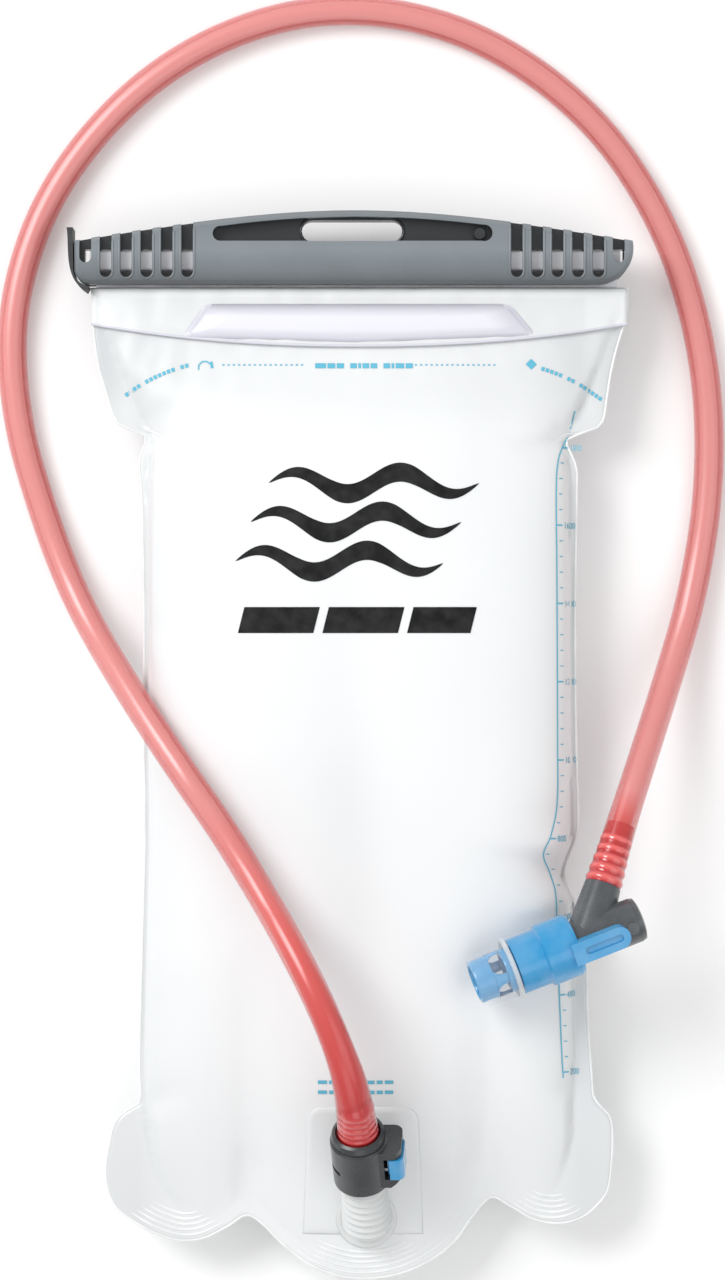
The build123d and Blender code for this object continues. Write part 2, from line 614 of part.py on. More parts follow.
SUB_PARTS = [
    front_film, back_film, perimeter_weld, centre_baffle, seal_rail,
    mouth_flap, front_stiffener, back_stiffener,
    port_patch, port_bellows, port_socket, poppet_valve, poppet_spring,
    coupling_body, hose_collar, plug_stem, plug_o_ring,
    release_button, latch_plate, button_spring,
    drink_tube,
    elbow_body, elbow_end_cap, shutoff_collar, shutoff_spool, spool_o_ring,
    mouthpiece_core, bite_sheath,
    slide_bar, end_lip, tether_peg,
]

os.makedirs("parts", exist_ok=True)
for sub_part in SUB_PARTS:
    export_step(sub_part(), f"parts/{sub_part.__name__}.step")
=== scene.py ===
import math

import bmesh
import bpy
from mathutils import Matrix, Vector, noise


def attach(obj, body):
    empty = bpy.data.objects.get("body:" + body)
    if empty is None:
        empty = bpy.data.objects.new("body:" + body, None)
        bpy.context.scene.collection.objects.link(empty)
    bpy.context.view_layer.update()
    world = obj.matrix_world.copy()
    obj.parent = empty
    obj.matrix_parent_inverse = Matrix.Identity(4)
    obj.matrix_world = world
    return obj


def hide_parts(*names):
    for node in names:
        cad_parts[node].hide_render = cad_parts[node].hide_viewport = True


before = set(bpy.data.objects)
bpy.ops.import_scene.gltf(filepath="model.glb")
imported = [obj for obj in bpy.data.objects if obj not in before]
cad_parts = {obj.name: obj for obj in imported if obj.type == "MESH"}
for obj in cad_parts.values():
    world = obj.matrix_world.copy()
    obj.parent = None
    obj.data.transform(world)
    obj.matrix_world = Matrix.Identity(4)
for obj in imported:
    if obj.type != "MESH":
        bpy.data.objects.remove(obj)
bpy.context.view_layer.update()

bl_info = {
    "name": "Hydration bladder",
    "version": (1, 0, 0),
    "blender": (4, 5, 0),
    "location": "View3D > Sidebar > Bladder",
    "description": "Soft water reservoir with slide seal, hose and bite valve",
    "category": "Object",
}

MM = 0.001

# ---- sizes shared by the pieces, in millimetres ----------------------------------------
SEAM_Z = 20.0
MOUTH_Y = 153.5
MOUTH_LEFT, MOUTH_RIGHT = -89.5, 90.0
FILM_GAP = 0.3           # half the thickness of the two films where they are welded
LEFT_CORNER = (-81.0, -155.0)
RIGHT_CORNER = (80.0, -152.0)
WELD_BAND = 6.0          # flat weld inside each scallop
EDGE_BAND = 1.3          # narrowest weld down the sides
FOOT_RUN = 88.0          # distance over which the foot fills out
FLAP_LEFT, FLAP_RIGHT = -89.6, 89.8
PRINT_LIFT = 0.16        # print stands this far off the film

# The welded edge: left and right sides by height, the scalloped foot by width.
LEFT_SIDE = [
    (-157, -80), (-152, -83), (-144, -85), (-133, -83.6), (-126, -81.5), (-122.4, -78),
    (-120.4, -74), (-117, -73.2), (-110, -73.6), (-90, -73.2), (-60, -72.4), (-30, -71.7),
    (0, -72), (40, -72), (70, -72.4), (85, -72.8), (95, -73.5), (101, -71.8), (103.8, -71.4),
    (105.6, -75), (107, -79.6), (110, -82), (118, -84.6), (128, -87.4), (140, -89), (155, -89.5),
]
RIGHT_SIDE = [
    (-155, 79), (-150, 83), (-140, 84.6), (-128, 84.9), (-123.5, 83.6), (-120.5, 80.5),
    (-117.5, 78.6), (-113, 78.2), (-103, 77.4), (-90, 76.5), (-73, 76), (-60, 74.3), (-52, 72),
    (-46, 69.6), (-42, 68.9), (-37, 70.4), (-30, 73), (-24, 73.6), (0, 72.8), (40, 72.4),
    (70, 72.8), (85, 73), (93, 72.9), (99, 70.6), (102.2, 69.4), (104, 72), (105.8, 78.5),
    (108.5, 81.6), (116, 83), (126, 84.6), (134, 86.6), (144, 89.4), (155, 90),
]
FOOT = [
    (-84, -152), (-81, -155), (-76, -159), (-69, -163), (-60, -165.8), (-52, -165), (-44, -161),
    (-38, -157.4), (-33, -160), (-26, -167), (-16, -174.5), (-3, -178.4), (10, -177.6),
    (22, -173), (31, -166), (37, -157.5), (43, -151.4), (49, -154), (57, -158.6), (66, -160),
    (74, -157.6), (80, -152), (83, -148),
]
# Inflated half width, front rise and back drop by height up the bag.
PUFFED = [
    (-170, 40), (-150, 64), (-138, 69.5), (-122, 71), (-95, 71.5), (0, 70.8), (85, 70.4),
    (100, 69.4), (105, 69.8), (116, 75), (130, 81), (145, 86), (156, 88),
]
FRONT_RISE = [
    (-180, 19.2), (-60, 19.8), (0, 19.8), (50, 19.2), (85, 16.0), (105, 11.4), (128, 5.4),
    (145, 2.2), (156, 0.9),
]
BACK_DROP = [
    (-180, 22.5), (-60, 23), (0, 23), (50, 22.6), (85, 19.0), (105, 13.2), (128, 6.0),
    (145, 2.2), (156, 0.9),
]
# Soft creases in the front panel: from, to, half width, depth.
CREASES = [
    ((-74, 104), (-48, 97), 4.5, 2.2),
    ((-73, 108), (-52, 113), 5.0, 1.2),
    ((72, 103), (46, 98), 4.5, 2.0),
    ((74, 107), (54, 113), 5.0, 1.0),
    ((72, -42), (30, -34), 5.0, 1.7),
    ((71, -50), (44, -56), 5.0, -0.9),
    ((73, -22), (46, -27), 6.0, 0.8),
    ((-38, -158), (-35, -128), 5.0, 1.9),
    ((43, -152), (40, -122), 5.0, 1.9),
    ((-74, -121), (-52, -112), 5.0, 1.3),
    ((78, -118), (56, -110), 5.0, 1.3),
    ((0, 62), (0, -92), 11.0, 1.1),
    ((-72, 40), (-58, 36), 4.0, 0.5),
    ((-72, -60), (-56, -64), 5.0, 0.5),
]

PORT_BASE = Vector((2.5, -156, 28))
PORT_AXIS = Vector((-0.07, 0.763, 0.643)).normalized()
ELBOW = Vector((75, -63, 46))
BARREL_AXIS = Vector((-0.929, -0.356, 0.10)).normalized()
LEG_AXIS = Vector((0.297, 0.913, -0.28)).normalized()
LEVER_TILT = 14.0
COUPLING_END = 37.0
LEG_LENGTH = 18.8

# The drinking hose's route, in metres.
HOSE_ROUTE = [
    (-0.0001, -0.1278, 0.0518), (-0.0015, -0.1125, 0.0647), (-0.0065, -0.0965, 0.0707),
    (-0.0135, -0.0800, 0.0705), (-0.0225, -0.0630, 0.0640), (-0.0320, -0.0475, 0.0530),
    (-0.0445, -0.0275, 0.0465), (-0.0580, -0.0085, 0.0450), (-0.0760, 0.0175, 0.0300),
    (-0.0935, 0.0450, 0.0100), (-0.1050, 0.0720, 0.0050), (-0.1170, 0.1120, 0.0050),
    (-0.1180, 0.1520, 0.0050), (-0.1020, 0.1940, 0.0050), (-0.0655, 0.2320, 0.0050),
    (-0.0170, 0.2510, 0.0050), (0.0330, 0.2450, 0.0050), (0.0765, 0.2170, 0.0050),
    (0.1035, 0.1780, 0.0050), (0.1170, 0.1350, 0.0050), (0.1195, 0.0920, 0.0050),
    (0.1135, 0.0515, 0.0050), (0.1030, 0.0190, 0.0145), (0.0932, -0.0085, 0.0285),
    (0.0871, -0.0257, 0.0346), (0.0806, -0.0458, 0.0407),
]


# ---- small helpers ---------------------------------------------------------------------
def linear(hex_colour):
    """An sRGB hex colour as linear red, green and blue."""
    channels = [int(hex_colour[i:i + 2], 16) / 255 for i in (1, 3, 5)]
    return tuple(c / 12.92 if c <= 0.04045 else ((c + 0.055) / 1.055) ** 2.4 for c in channels)


def add_node(tree, kind, settings=(), inputs=(), links=()):
    """Adds a node, sets its properties and input values, and links its inputs."""
    node = tree.nodes.new(kind)
    for name, value in dict(settings).items():
        setattr(node, name, value)
    for name, value in dict(inputs).items():
        node.inputs[name].default_value = value
    for name, source in dict(links).items():
        tree.links.new(source, node.inputs[name])
    return node


def lerp(a, b, t):
    return a + (b - a) * t


def clamp(value, low=0.0, high=1.0):
    return max(low, min(high, value))


def ease(t):
    """Zero to one with flat ends."""
    t = clamp(t)
    return t * t * (3 - 2 * t)


def flowing(knots, t):
    """A smooth curve through (place, value) knots, read at one place."""
    if t <= knots[0][0]:
        return knots[0][1]
    for i in range(len(knots) - 1):
        (t0, v0), (t1, v1) = knots[i], knots[i + 1]
        if t <= t1:
            before = knots[max(i - 1, 0)]
            after = knots[min(i + 2, len(knots) - 1)]
            span = t1 - t0
            slope0 = (v1 - before[1]) / max(t1 - before[0], 1e-6) * span
            slope1 = (after[1] - v0) / max(after[0] - t0, 1e-6) * span
            s = (t - t0) / span
            return (
                (2 * s ** 3 - 3 * s ** 2 + 1) * v0 + (s ** 3 - 2 * s ** 2 + s) * slope0
                + (3 * s ** 2 - 2 * s ** 3) * v1 + (s ** 3 - s ** 2) * slope1
            )
    return knots[-1][1]


def frame_matrix(origin, z_axis, x_axis):
    """The matrix of a slanted frame, in millimetres."""
    y_axis = z_axis.cross(x_axis).normalized()
    turn = Matrix((x_axis.normalized(), y_axis, z_axis)).transposed().to_4x4()
    return Matrix.Translation(origin) @ turn


def across(axis):
    """A unit vector square to axis, lying in the XZ plane."""
    return Vector((axis.z, 0, -axis.x)).normalized()


def lever_direction():
    up = (Vector((0, 0, 1)) - BARREL_AXIS * BARREL_AXIS.z).normalized()
    side = BARREL_AXIS.cross(up)
    tilt = math.radians(LEVER_TILT)
    return up * math.cos(tilt) - side * math.sin(tilt)


PORT = frame_matrix(PORT_BASE, PORT_AXIS, across(PORT_AXIS))
VALVE = frame_matrix(ELBOW, BARREL_AXIS, lever_direction())
LEG = frame_matrix(ELBOW, LEG_AXIS, across(LEG_AXIS))


def enrol(piece, body, replaces):
    """Hangs a piece on the body it rides on and hides the nodes it stands for."""
    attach(piece, body)
    if replaces:
        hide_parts(*replaces)


def make_piece(name, bm, body, material, replaces=(), smooth=True):
    """Turns a bmesh in millimetres into a piece that rides on a body."""
    bmesh.ops.transform(bm, matrix=Matrix.Scale(MM, 4), verts=bm.verts)
    for face in bm.faces:
        face.smooth = smooth
    mesh = bpy.data.meshes.new(name)
    bm.to_mesh(mesh)
    bm.free()
    piece = bpy.data.objects.new(name, mesh)
    bpy.context.scene.collection.objects.link(piece)
    mesh.materials.append(material)
    enrol(piece, body, replaces)
    return piece


def new_wire(name, radius, resolution):
    """An empty curve with a round section, its radius in metres."""
    curve = bpy.data.curves.new(name, "CURVE")
    curve.dimensions = "3D"
    curve.bevel_depth = radius
    curve.bevel_resolution = resolution
    wire = bpy.data.objects.new(name, curve)
    bpy.context.scene.collection.objects.link(wire)
    return wire


def add_run(wire, points, kind="POLY", scale=MM, radii=None):
    """Lays one run of a wire through points, in millimetres unless scale says otherwise."""
    spline = wire.data.splines.new(kind)
    spline.points.add(len(points) - 1)
    for index, (x, y, z) in enumerate(points):
        spline.points[index].co = (x * scale, y * scale, z * scale, 1)
        if radii:
            spline.points[index].radius = radii[index]
    return spline


def finish_wire(wire, body, material, replaces=()):
    """Makes a wire a piece of the object. Its runs are laid first."""
    wire.data.materials.append(material)
    enrol(wire, body, replaces)


def thicken(piece, thickness):
    """Gives a sheet a wall that grows inwards, in metres."""
    wall = piece.modifiers.new("wall", "SOLIDIFY")
    wall.thickness = thickness
    wall.offset = -1


def set_tone(bm, tone_at):
    """Stores tone_at(place) on every vertex, for the materials that read it."""
    tone = bm.verts.layers.float.new("tone")
    for vert in bm.verts:
        vert[tone] = tone_at(vert.co)


def bevelled_edge(u, v, along, over):
    """One inside a unit patch, easing to zero at its four sides."""
    return min(ease(u / along), ease((1 - u) / along), ease(v / over), ease((1 - v) / over))


def grid_sheet(bm, columns, rows, place):
    """A grid whose points go where place(u, v) says, u and v from zero to one."""
    made = bmesh.ops.create_grid(bm, x_segments=columns, y_segments=rows, size=0.5)
    for vert in made["verts"]:
        vert.co = place(vert.co.x + 0.5, vert.co.y + 0.5)


def spun(bm, profile, steps, matrix):
    """Spins a profile of (radius, height) points a full turn about the Z axis of matrix."""
    verts = [bm.verts.new((radius, 0, height)) for radius, height in profile]
    edges = [bm.edges.new(pair) for pair in zip(verts, verts[1:])]
    before = set(bm.verts) - set(verts)
    bmesh.ops.spin(
        bm, geom=verts + edges, cent=(0, 0, 0), axis=(0, 0, 1), dvec=(0, 0, 0),
        angle=math.tau, steps=steps, use_merge=True, use_duplicate=False,
    )
    made = [vert for vert in bm.verts if vert not in before]
    bmesh.ops.remove_doubles(bm, verts=made, dist=1e-4)
    made = [vert for vert in bm.verts if vert not in before]
    bmesh.ops.transform(bm, matrix=matrix, verts=made)


def close_faces(bm):
    """Points every face outwards."""
    bmesh.ops.recalc_face_normals(bm, faces=bm.faces)


def rounded(points, radius, steps=3):
    """A profile with its inner corners rounded by small arcs of points."""
    result = [points[0]]
    for before, here, after in zip(points, points[1:], points[2:]):
        here_v = Vector(here)
        back = Vector(before) - here_v
        ahead = Vector(after) - here_v
        reach = min(radius, 0.45 * back.length, 0.45 * ahead.length)
        start = here_v + back.normalized() * reach
        end = here_v + ahead.normalized() * reach
        for i in range(steps + 1):
            t = i / steps
            first = start.lerp(here_v, t)
            second = here_v.lerp(end, t)
            result.append(tuple(first.lerp(second, t)))
    result.append(points[-1])
    return result


# ---- the shape of the film -------------------------------------------------------------
def crease_depth(x, y):
    """How far the creases sink the front panel here."""
    depth = 0.0
    here = Vector((x, y))
    for start, end, half_width, deepest in CREASES:
        start, end = Vector(start), Vector(end)
        along = end - start
        t = clamp((here - start).dot(along) / along.length_squared)
        distance = (here - start - along * t).length / half_width
        if distance < 3:
            fade = ease(1 - t) if half_width < 10 else math.sin(math.pi * clamp(t * 0.9 + 0.05)) ** 0.6
            depth += deepest * math.exp(-distance * distance) * fade
    return depth


def puffed_half(x, y):
    """Half width of the water space on this side, always short of the welded edge."""
    edge = flowing(RIGHT_SIDE, y) if x > 0 else -flowing(LEFT_SIDE, y)
    return min(flowing(PUFFED, y), edge - EDGE_BAND)


def swell(x, y, power):
    """Fullness of the cross-section, one in the middle and zero at the edge."""
    share = clamp(abs(x) / puffed_half(x, y))
    return (1 - share ** power) ** (1 / power)


def foot_fill(x, y, run, power):
    """Fullness near the foot, zero on the weld and one well above it."""
    t = clamp((y - flowing(FOOT, x) - WELD_BAND) / run)
    return 1 - (1 - t) ** power


def front_z(x, y):
    """Height of the front panel's outer face."""
    full = flowing(FRONT_RISE, y) * swell(x, y, 2.5) * foot_fill(x, y, FOOT_RUN, 1.5)
    ripple = 0.5 * noise.noise(Vector((x * 0.045, y * 0.028, 3.1))) * clamp(full / 4)
    edge = 1 - clamp(full / 9)
    cockle = 0.45 * edge * noise.noise(Vector((x * 0.16, y * 0.12, 8.4))) * clamp(full / 0.6)
    sunk = 1.4 * crease_depth(x, y) * clamp(full / 5)
    return SEAM_Z + FILM_GAP + max(full - sunk + ripple + cockle, 0.0)


def back_z(x, y):
    """Height of the back panel's outer face, flat on the table under the water."""
    full = flowing(BACK_DROP, y) * swell(x, y, 2.8) * foot_fill(x, y, FOOT_RUN * 0.8, 1.6)
    hang = SEAM_Z - FILM_GAP - full
    return 0.5 * (hang + math.sqrt(hang * hang + 0.8))


def make_print(name, bm, ink="blue_ink"):
    """Turns a bmesh of flat print into a piece on the film."""
    make_piece(name, bm, "reservoir", material_named(ink), smooth=False)


def on_film(x, y, lift):
    """A point this far above the front panel."""
    return Vector((x, y, front_z(x, y) + lift))


def film_place(u, v):
    """The plan position of a point of the film: a patch between the four welded edges."""
    top = Vector((lerp(MOUTH_LEFT, MOUTH_RIGHT, u), MOUTH_Y))
    foot_x = lerp(LEFT_CORNER[0], RIGHT_CORNER[0], u)
    foot = Vector((foot_x, flowing(FOOT, foot_x)))
    left_y = lerp(LEFT_CORNER[1], MOUTH_Y, v)
    right_y = lerp(RIGHT_CORNER[1], MOUTH_Y, v)
    left = Vector((flowing(LEFT_SIDE, left_y), left_y))
    right = Vector((flowing(RIGHT_SIDE, right_y), right_y))
    low_left = Vector(LEFT_CORNER)
    low_right = Vector(RIGHT_CORNER)
    high_left = Vector((MOUTH_LEFT, MOUTH_Y))
    high_right = Vector((MOUTH_RIGHT, MOUTH_Y))
    corners = low_left.lerp(low_right, u).lerp(high_left.lerp(high_right, u), v)
    return foot.lerp(top, v) + left.lerp(right, u) - corners


def film_outline(count):
    """Points round the welded edge, from the mouth's left end down and back up."""
    points = [film_place(0, 1 - i / count) for i in range(count)]
    points += [film_place(i / count, 0) for i in range(count)]
    points += [film_place(1, i / count) for i in range(count + 1)]
    return points


# ---- materials -------------------------------------------------------------------------
def new_material(name, colour, roughness, **values):
    """A Principled material with its constant values set on the shader."""
    material = bpy.data.materials.new(name)
    material.use_nodes = True
    shader = material.node_tree.nodes["Principled BSDF"]
    shader.inputs["Base Color"].default_value = (*colour, 1)
    shader.inputs["Roughness"].default_value = roughness
    for key, value in values.items():
        shader.inputs[key.replace("_", " ")].default_value = value
    return material, material.node_tree, shader


def grain(tree, shader, size_mm, strength, depth_mm, detail=3.0):
    """A fine surface grain: noise of one real size, as bump. Gives back its coordinates and noise."""
    place = add_node(tree, "ShaderNodeTexCoord")
    speckle = add_node(
        tree, "ShaderNodeTexNoise",
        inputs={"Scale": 1 / (size_mm * MM), "Detail": detail, "Roughness": 0.55},
        links={"Vector": place.outputs["Object"]},
    )
    bump = add_node(
        tree, "ShaderNodeBump",
        inputs={"Strength": strength, "Distance": depth_mm * MM},
        links={"Height": speckle.outputs["Fac"]},
    )
    tree.links.new(bump.outputs["Normal"], shader.inputs["Normal"])
    return place, speckle


def vary_roughness(tree, shader, source, low, high):
    """Roughness that follows a pattern between two values."""
    spread = add_node(
        tree, "ShaderNodeMapRange",
        inputs={"From Min": 0.3, "From Max": 0.7, "To Min": low, "To Max": high},
        links={"Value": source},
    )
    tree.links.new(spread.outputs["Result"], shader.inputs["Roughness"])


def mottle(tree, shader, place, size_mm, first, second):
    """Two close colours in soft clouds of one real size."""
    cloud = add_node(
        tree, "ShaderNodeTexNoise",
        inputs={"Scale": 1 / (size_mm * MM), "Detail": 2.0},
        links={"Vector": place.outputs["Object"]},
    )
    ramp = add_node(tree, "ShaderNodeValToRGB", links={"Fac": cloud.outputs["Fac"]})
    ramp.color_ramp.elements[0].position = 0.35
    ramp.color_ramp.elements[0].color = (*first, 1)
    ramp.color_ramp.elements[1].position = 0.65
    ramp.color_ramp.elements[1].color = (*second, 1)
    tree.links.new(ramp.outputs["Color"], shader.inputs["Base Color"])
    return ramp.outputs["Color"]


def tone_ramp(tree, shader, low, high):
    """Base colour that follows the mesh's own tone, from low to high."""
    tone = add_node(tree, "ShaderNodeAttribute", settings={"attribute_name": "tone"})
    ramp = add_node(tree, "ShaderNodeValToRGB", links={"Fac": tone.outputs["Fac"]})
    ramp.color_ramp.elements[0].color = (*low, 1)
    ramp.color_ramp.elements[1].color = (*high, 1)
    tree.links.new(ramp.outputs["Color"], shader.inputs["Base Color"])


def moulded(name, colour, roughness, grained, spread=None, clouds=None, tones=None, **values):
    """A material with a fine grain and, where given, uneven gloss, soft clouds or the mesh's own tones."""
    material, tree, shader = new_material(name, colour, roughness, **values)
    place, speckle = grain(tree, shader, *grained)
    if spread:
        vary_roughness(tree, shader, speckle.outputs["Fac"], *spread)
    if clouds:
        mottle(tree, shader, place, *clouds)
    if tones:
        tone_ramp(tree, shader, *tones)
    return material


def tpu_film():
    """Milky thermoplastic polyurethane film: satin, faintly cloudy, it lets soft light into itself. Its tone
    ramp runs from a painted shade grey up to the film's colour.
    """
    film_colour = bpy.context.scene.bladder_look.film_colour
    return moulded(
        "tpu_film_milky", film_colour, 0.3, (9.0, 0.05, 0.2, 0.0), spread=(0.3, 0.36),
        # The low tone colour is the painted shade.
        tones=(linear("#bcbfc1"), film_colour), IOR=1.5, Coat_Weight=0.1, Coat_Roughness=0.3,
        Subsurface_Weight=0.12, Subsurface_Scale=0.002, Subsurface_Radius=(1.0, 1.0, 1.0),
    )


def welded_film():
    """The same film where two layers are pressed together: clearer, so a little whiter in its ridges."""
    return moulded(
        "tpu_film_welded", linear("#f0f1f1"), 0.22, (2.0, 0.06, 0.08, 1.0),
        clouds=(10, linear("#e2e4e4"), linear("#eeefef")), IOR=1.5, Coat_Weight=0.2, Coat_Roughness=0.2,
    )


def stiff_plate():
    """Stiff white polypropylene sheet with a cool cast, with painted shade on its sloping rim."""
    return moulded(
        "polypropylene_plate", linear("#dedee6"), 0.3, (0.8, 0.06, 0.03),
        tones=(linear("#cfcfd9"), linear("#e0e0e7")), IOR=1.49,
    )


def white_polypropylene():
    """Moulded white polypropylene: smooth satin with a faint cool cast."""
    return moulded(
        "polypropylene_white_moulded", linear("#eeeef3"), 0.32, (0.8, 0.06, 0.03),
        clouds=(14, linear("#e9e9f0"), linear("#f2f2f5")), IOR=1.49,
    )


def grey_nylon():
    """Moulded grey nylon: fine grain, with a painted highlight across the middle of its face and painted
    shade along its lower edge and down in the recesses.
    """
    look = bpy.context.scene.bladder_look
    material, tree, shader = new_material(
        "nylon_grey_moulded", look.slide_colour, 0.3, IOR=1.53, Coat_Weight=0.3, Coat_Roughness=0.2,
    )
    place, speckle = grain(tree, shader, 0.45, 0.12, 0.03)
    vary_roughness(tree, shader, speckle.outputs["Fac"], 0.26, 0.4)
    darker = tuple(c * 0.94 for c in look.slide_colour)
    shade = mottle(tree, shader, place, 12, darker, look.slide_colour)
    axes = add_node(tree, "ShaderNodeSeparateXYZ", links={"Vector": place.outputs["Object"]})
    # Painted shade and highlight: darker by depth in the recesses and along the lower edge, palest across
    # the middle of the face.
    for axis, low, high, shade_and_highlight_stops in (
        ("Z", 0.015, 0.030, ((0.0, "#4a4e52"), (0.62, "#4a4e52"), (0.72, "#ffffff"), (1.0, "#ffffff"))),
        ("Y", 0.152, 0.179, (
            (0.0, "#3c3c3c"), (0.07, "#a4a4a4"), (0.25, "#dadada"), (0.5, "#ffffff"), (1.0, "#ececec"),
        )),
    ):
        span = add_node(
            tree, "ShaderNodeMapRange", inputs={"From Min": low, "From Max": high},
            links={"Value": axes.outputs[axis]},
        )
        ramp = add_node(tree, "ShaderNodeValToRGB", links={"Fac": span.outputs["Result"]})
        while len(ramp.color_ramp.elements) < len(shade_and_highlight_stops):
            ramp.color_ramp.elements.new(0.5)
        for element, (position, colour) in zip(ramp.color_ramp.elements, shade_and_highlight_stops):
            element.position = position
            element.color = (*linear(colour), 1)
        mixed = add_node(
            tree, "ShaderNodeMix", settings={"data_type": "RGBA", "blend_type": "MULTIPLY"},
            links={6: shade, 7: ramp.outputs["Color"]},
        )
        mixed.inputs[0].default_value = 1.0
        shade = mixed.outputs[2]
    tree.links.new(shade, shader.inputs["Base Color"])
    return material


def dark_acetal(name, colour, second):
    """Moulded dark acetal: nearly black, smooth, with a soft waxy shine."""
    return moulded(
        name, colour, 0.28, (0.5, 0.12, 0.03), spread=(0.22, 0.36), clouds=(7, colour, second),
        IOR=1.48, Coat_Weight=0.3, Coat_Roughness=0.18,
    )


def blue_acetal():
    """Moulded sky-blue acetal: glossy, slightly waxy."""
    colour = bpy.context.scene.bladder_look.valve_colour
    paler = tuple(lerp(c, 1.0, 0.05) for c in colour)
    return moulded(
        "acetal_blue_moulded", colour, 0.2, (0.6, 0.05, 0.02), clouds=(8, colour, paler),
        IOR=1.48, Coat_Weight=0.6, Coat_Roughness=0.08,
    )


def clear_silicone():
    """Clear moulded silicone: frosted and thin, whiter where walls overlap or turn away."""
    return moulded(
        "silicone_clear", linear("#f4f8fb"), 0.24, (1.6, 0.06, 0.05), spread=(0.18, 0.3),
        IOR=1.41, Alpha=0.07, Coat_Weight=0.3, Coat_Roughness=0.15,
    )


def milky_silicone(name, alpha):
    """Milky moulded silicone: translucent white, more open where the wall is thin."""
    return moulded(
        name, linear("#eaecec"), 0.28, (1.5, 0.06, 0.05),
        IOR=1.41, Alpha=alpha, Coat_Weight=0.4, Coat_Roughness=0.15,
    )


def near_ends(tree, place):
    """One at the hose's two ends and zero along its free run."""
    nearest = None
    for middle, reach in (
        (PORT_BASE + PORT_AXIS * COUPLING_END, 120),
        (ELBOW + LEG_AXIS * LEG_LENGTH, 34),
    ):
        gap = add_node(
            tree, "ShaderNodeVectorMath", settings={"operation": "DISTANCE"},
            links={0: place.outputs["Object"]},
        )
        gap.inputs[1].default_value = middle * MM
        near = add_node(
            tree, "ShaderNodeMapRange",
            inputs={"From Min": 0.012, "From Max": reach * MM, "To Min": 1.0, "To Max": 0.0},
            links={"Value": gap.outputs["Value"]},
        )
        if nearest is None:
            nearest = near.outputs["Result"]
        else:
            joined = add_node(
                tree, "ShaderNodeMath", settings={"operation": "MAXIMUM"},
                links={0: nearest, 1: near.outputs["Result"]},
            )
            nearest = joined.outputs["Value"]
    return nearest


def hose_material(name, free_run, between, ends, alpha):
    """Translucent red polyurethane, deeper in colour towards its two ends: over a long run from the coupling
    and a short run from the valve.
    """
    material, tree, shader = new_material(
        name, free_run, 0.25, IOR=1.5, Alpha=alpha, Coat_Weight=1.0, Coat_Roughness=0.22,
    )
    place = grain(tree, shader, 5.0, 0.05, 0.1, 1.0)[0]
    ramp = add_node(tree, "ShaderNodeValToRGB", links={"Fac": near_ends(tree, place)})
    ramp.color_ramp.elements[0].color = (*free_run, 1)
    ramp.color_ramp.elements[1].color = (*ends, 1)
    middle_stop = ramp.color_ramp.elements.new(0.45)
    middle_stop.color = (*between, 1)
    tree.links.new(ramp.outputs["Color"], shader.inputs["Base Color"])
    return material


def red_polyurethane():
    """The tube's outer wall: clear red, so its middle looks paler than its edges."""
    look = bpy.context.scene.bladder_look
    return hose_material(
        "polyurethane_red_tube", look.hose_colour, linear("#dc4f4b"), linear("#cb2427"), 0.52,
    )


def stretched_polyurethane():
    """The tube's end stretched over its barbs: glossier, each swelling a shade paler."""
    return moulded(
        "polyurethane_red_stretched", linear("#d23a3a"), 0.16, (5.0, 0.05, 0.1, 1.0),
        tones=(linear("#b81f24"), linear("#e2625f")), IOR=1.5, Coat_Weight=1.0, Coat_Roughness=0.1,
    )


def inner_wall():
    """The tube's inner wall, nearly white along the free run because light spreads along the bore."""
    return hose_material(
        "polyurethane_inner_wall", linear("#fdeeeb"), linear("#ea8882"), linear("#cb2e2c"), 1.0,
    )


def screen_ink(name, colour):
    """Screen-printed ink on film: flat, slightly uneven where the film moved."""
    paler = tuple(lerp(c, 1.0, 0.015) for c in colour)
    return moulded(
        name, colour, 0.6, (0.7, 0.05, 0.02), clouds=(5.0, colour, paler), Specular_IOR_Level=0.2,
    )


def spring_steel():
    """Stainless steel strip and wire: bright, lightly brushed."""
    return moulded("stainless_steel", linear("#b9bcc0"), 0.3, (0.3, 0.1, 0.01), Metallic=1.0)


def black_rubber():
    """Black rubber: matt with a fine bloom."""
    return moulded(
        "rubber_black", linear("#2a2c2e"), 0.55, (0.6, 0.12, 0.03),
        clouds=(3, linear("#26282a"), linear("#323436")),
    )


MATERIALS = {}


def material_named(name):
    """Makes each material once, when it is first asked for."""
    makers = {
        "film": tpu_film,
        "weld": welded_film,
        "plate": stiff_plate,
        "white": white_polypropylene,
        "grey": grey_nylon,
        "dark": lambda: dark_acetal("acetal_black_moulded", linear("#27292b"), linear("#2f3234")),
        "elbow": lambda: dark_acetal("acetal_grey_moulded", linear("#474a4d"), linear("#515558")),
        "blue": blue_acetal,
        "clear": clear_silicone,
        "milky": lambda: milky_silicone("silicone_milky", 0.72),
        "frosted": lambda: milky_silicone("silicone_frosted", 0.36),
        "hose": red_polyurethane,
        "grip": stretched_polyurethane,
        "blue_ink": lambda: screen_ink("ink_teal_printed", linear("#5fb2cb")),
        "black_ink": lambda: screen_ink("ink_black_printed", linear("#0d0d0f")),
        "inner_wall": inner_wall,
        "steel": spring_steel,
        "rubber": black_rubber,
    }
    if name not in MATERIALS:
        MATERIALS[name] = makers[name]()
    return MATERIALS[name]


def finish_nodes(material, *names):
    """Gives CAD nodes a material."""
    for name in names:
        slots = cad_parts[name].data.materials
        if not slots:
            slots.append(material)
        for index in range(len(slots)):
            slots[index] = material


# ---- settings --------------------------------------------------------------------------
def colour_setting(name, description, hex_colour):
    return bpy.props.FloatVectorProperty(
        name=name, description=description, subtype="COLOR", default=linear(hex_colour),
    )


def length_setting(name, description, default):
    return bpy.props.FloatProperty(name=name, description=description, default=default, unit="LENGTH")


class BladderLook(bpy.types.PropertyGroup):
    film_colour: colour_setting("Film", "Colour of the film", "#ebedee")
    slide_colour: colour_setting("Slide bar", "Colour of the slide bar", "#7c8489")
    valve_colour: colour_setting("Valve", "Colour of the valve's collar", "#2690c6")
    hose_colour: colour_setting("Hose", "Colour of the hose", "#da4843")


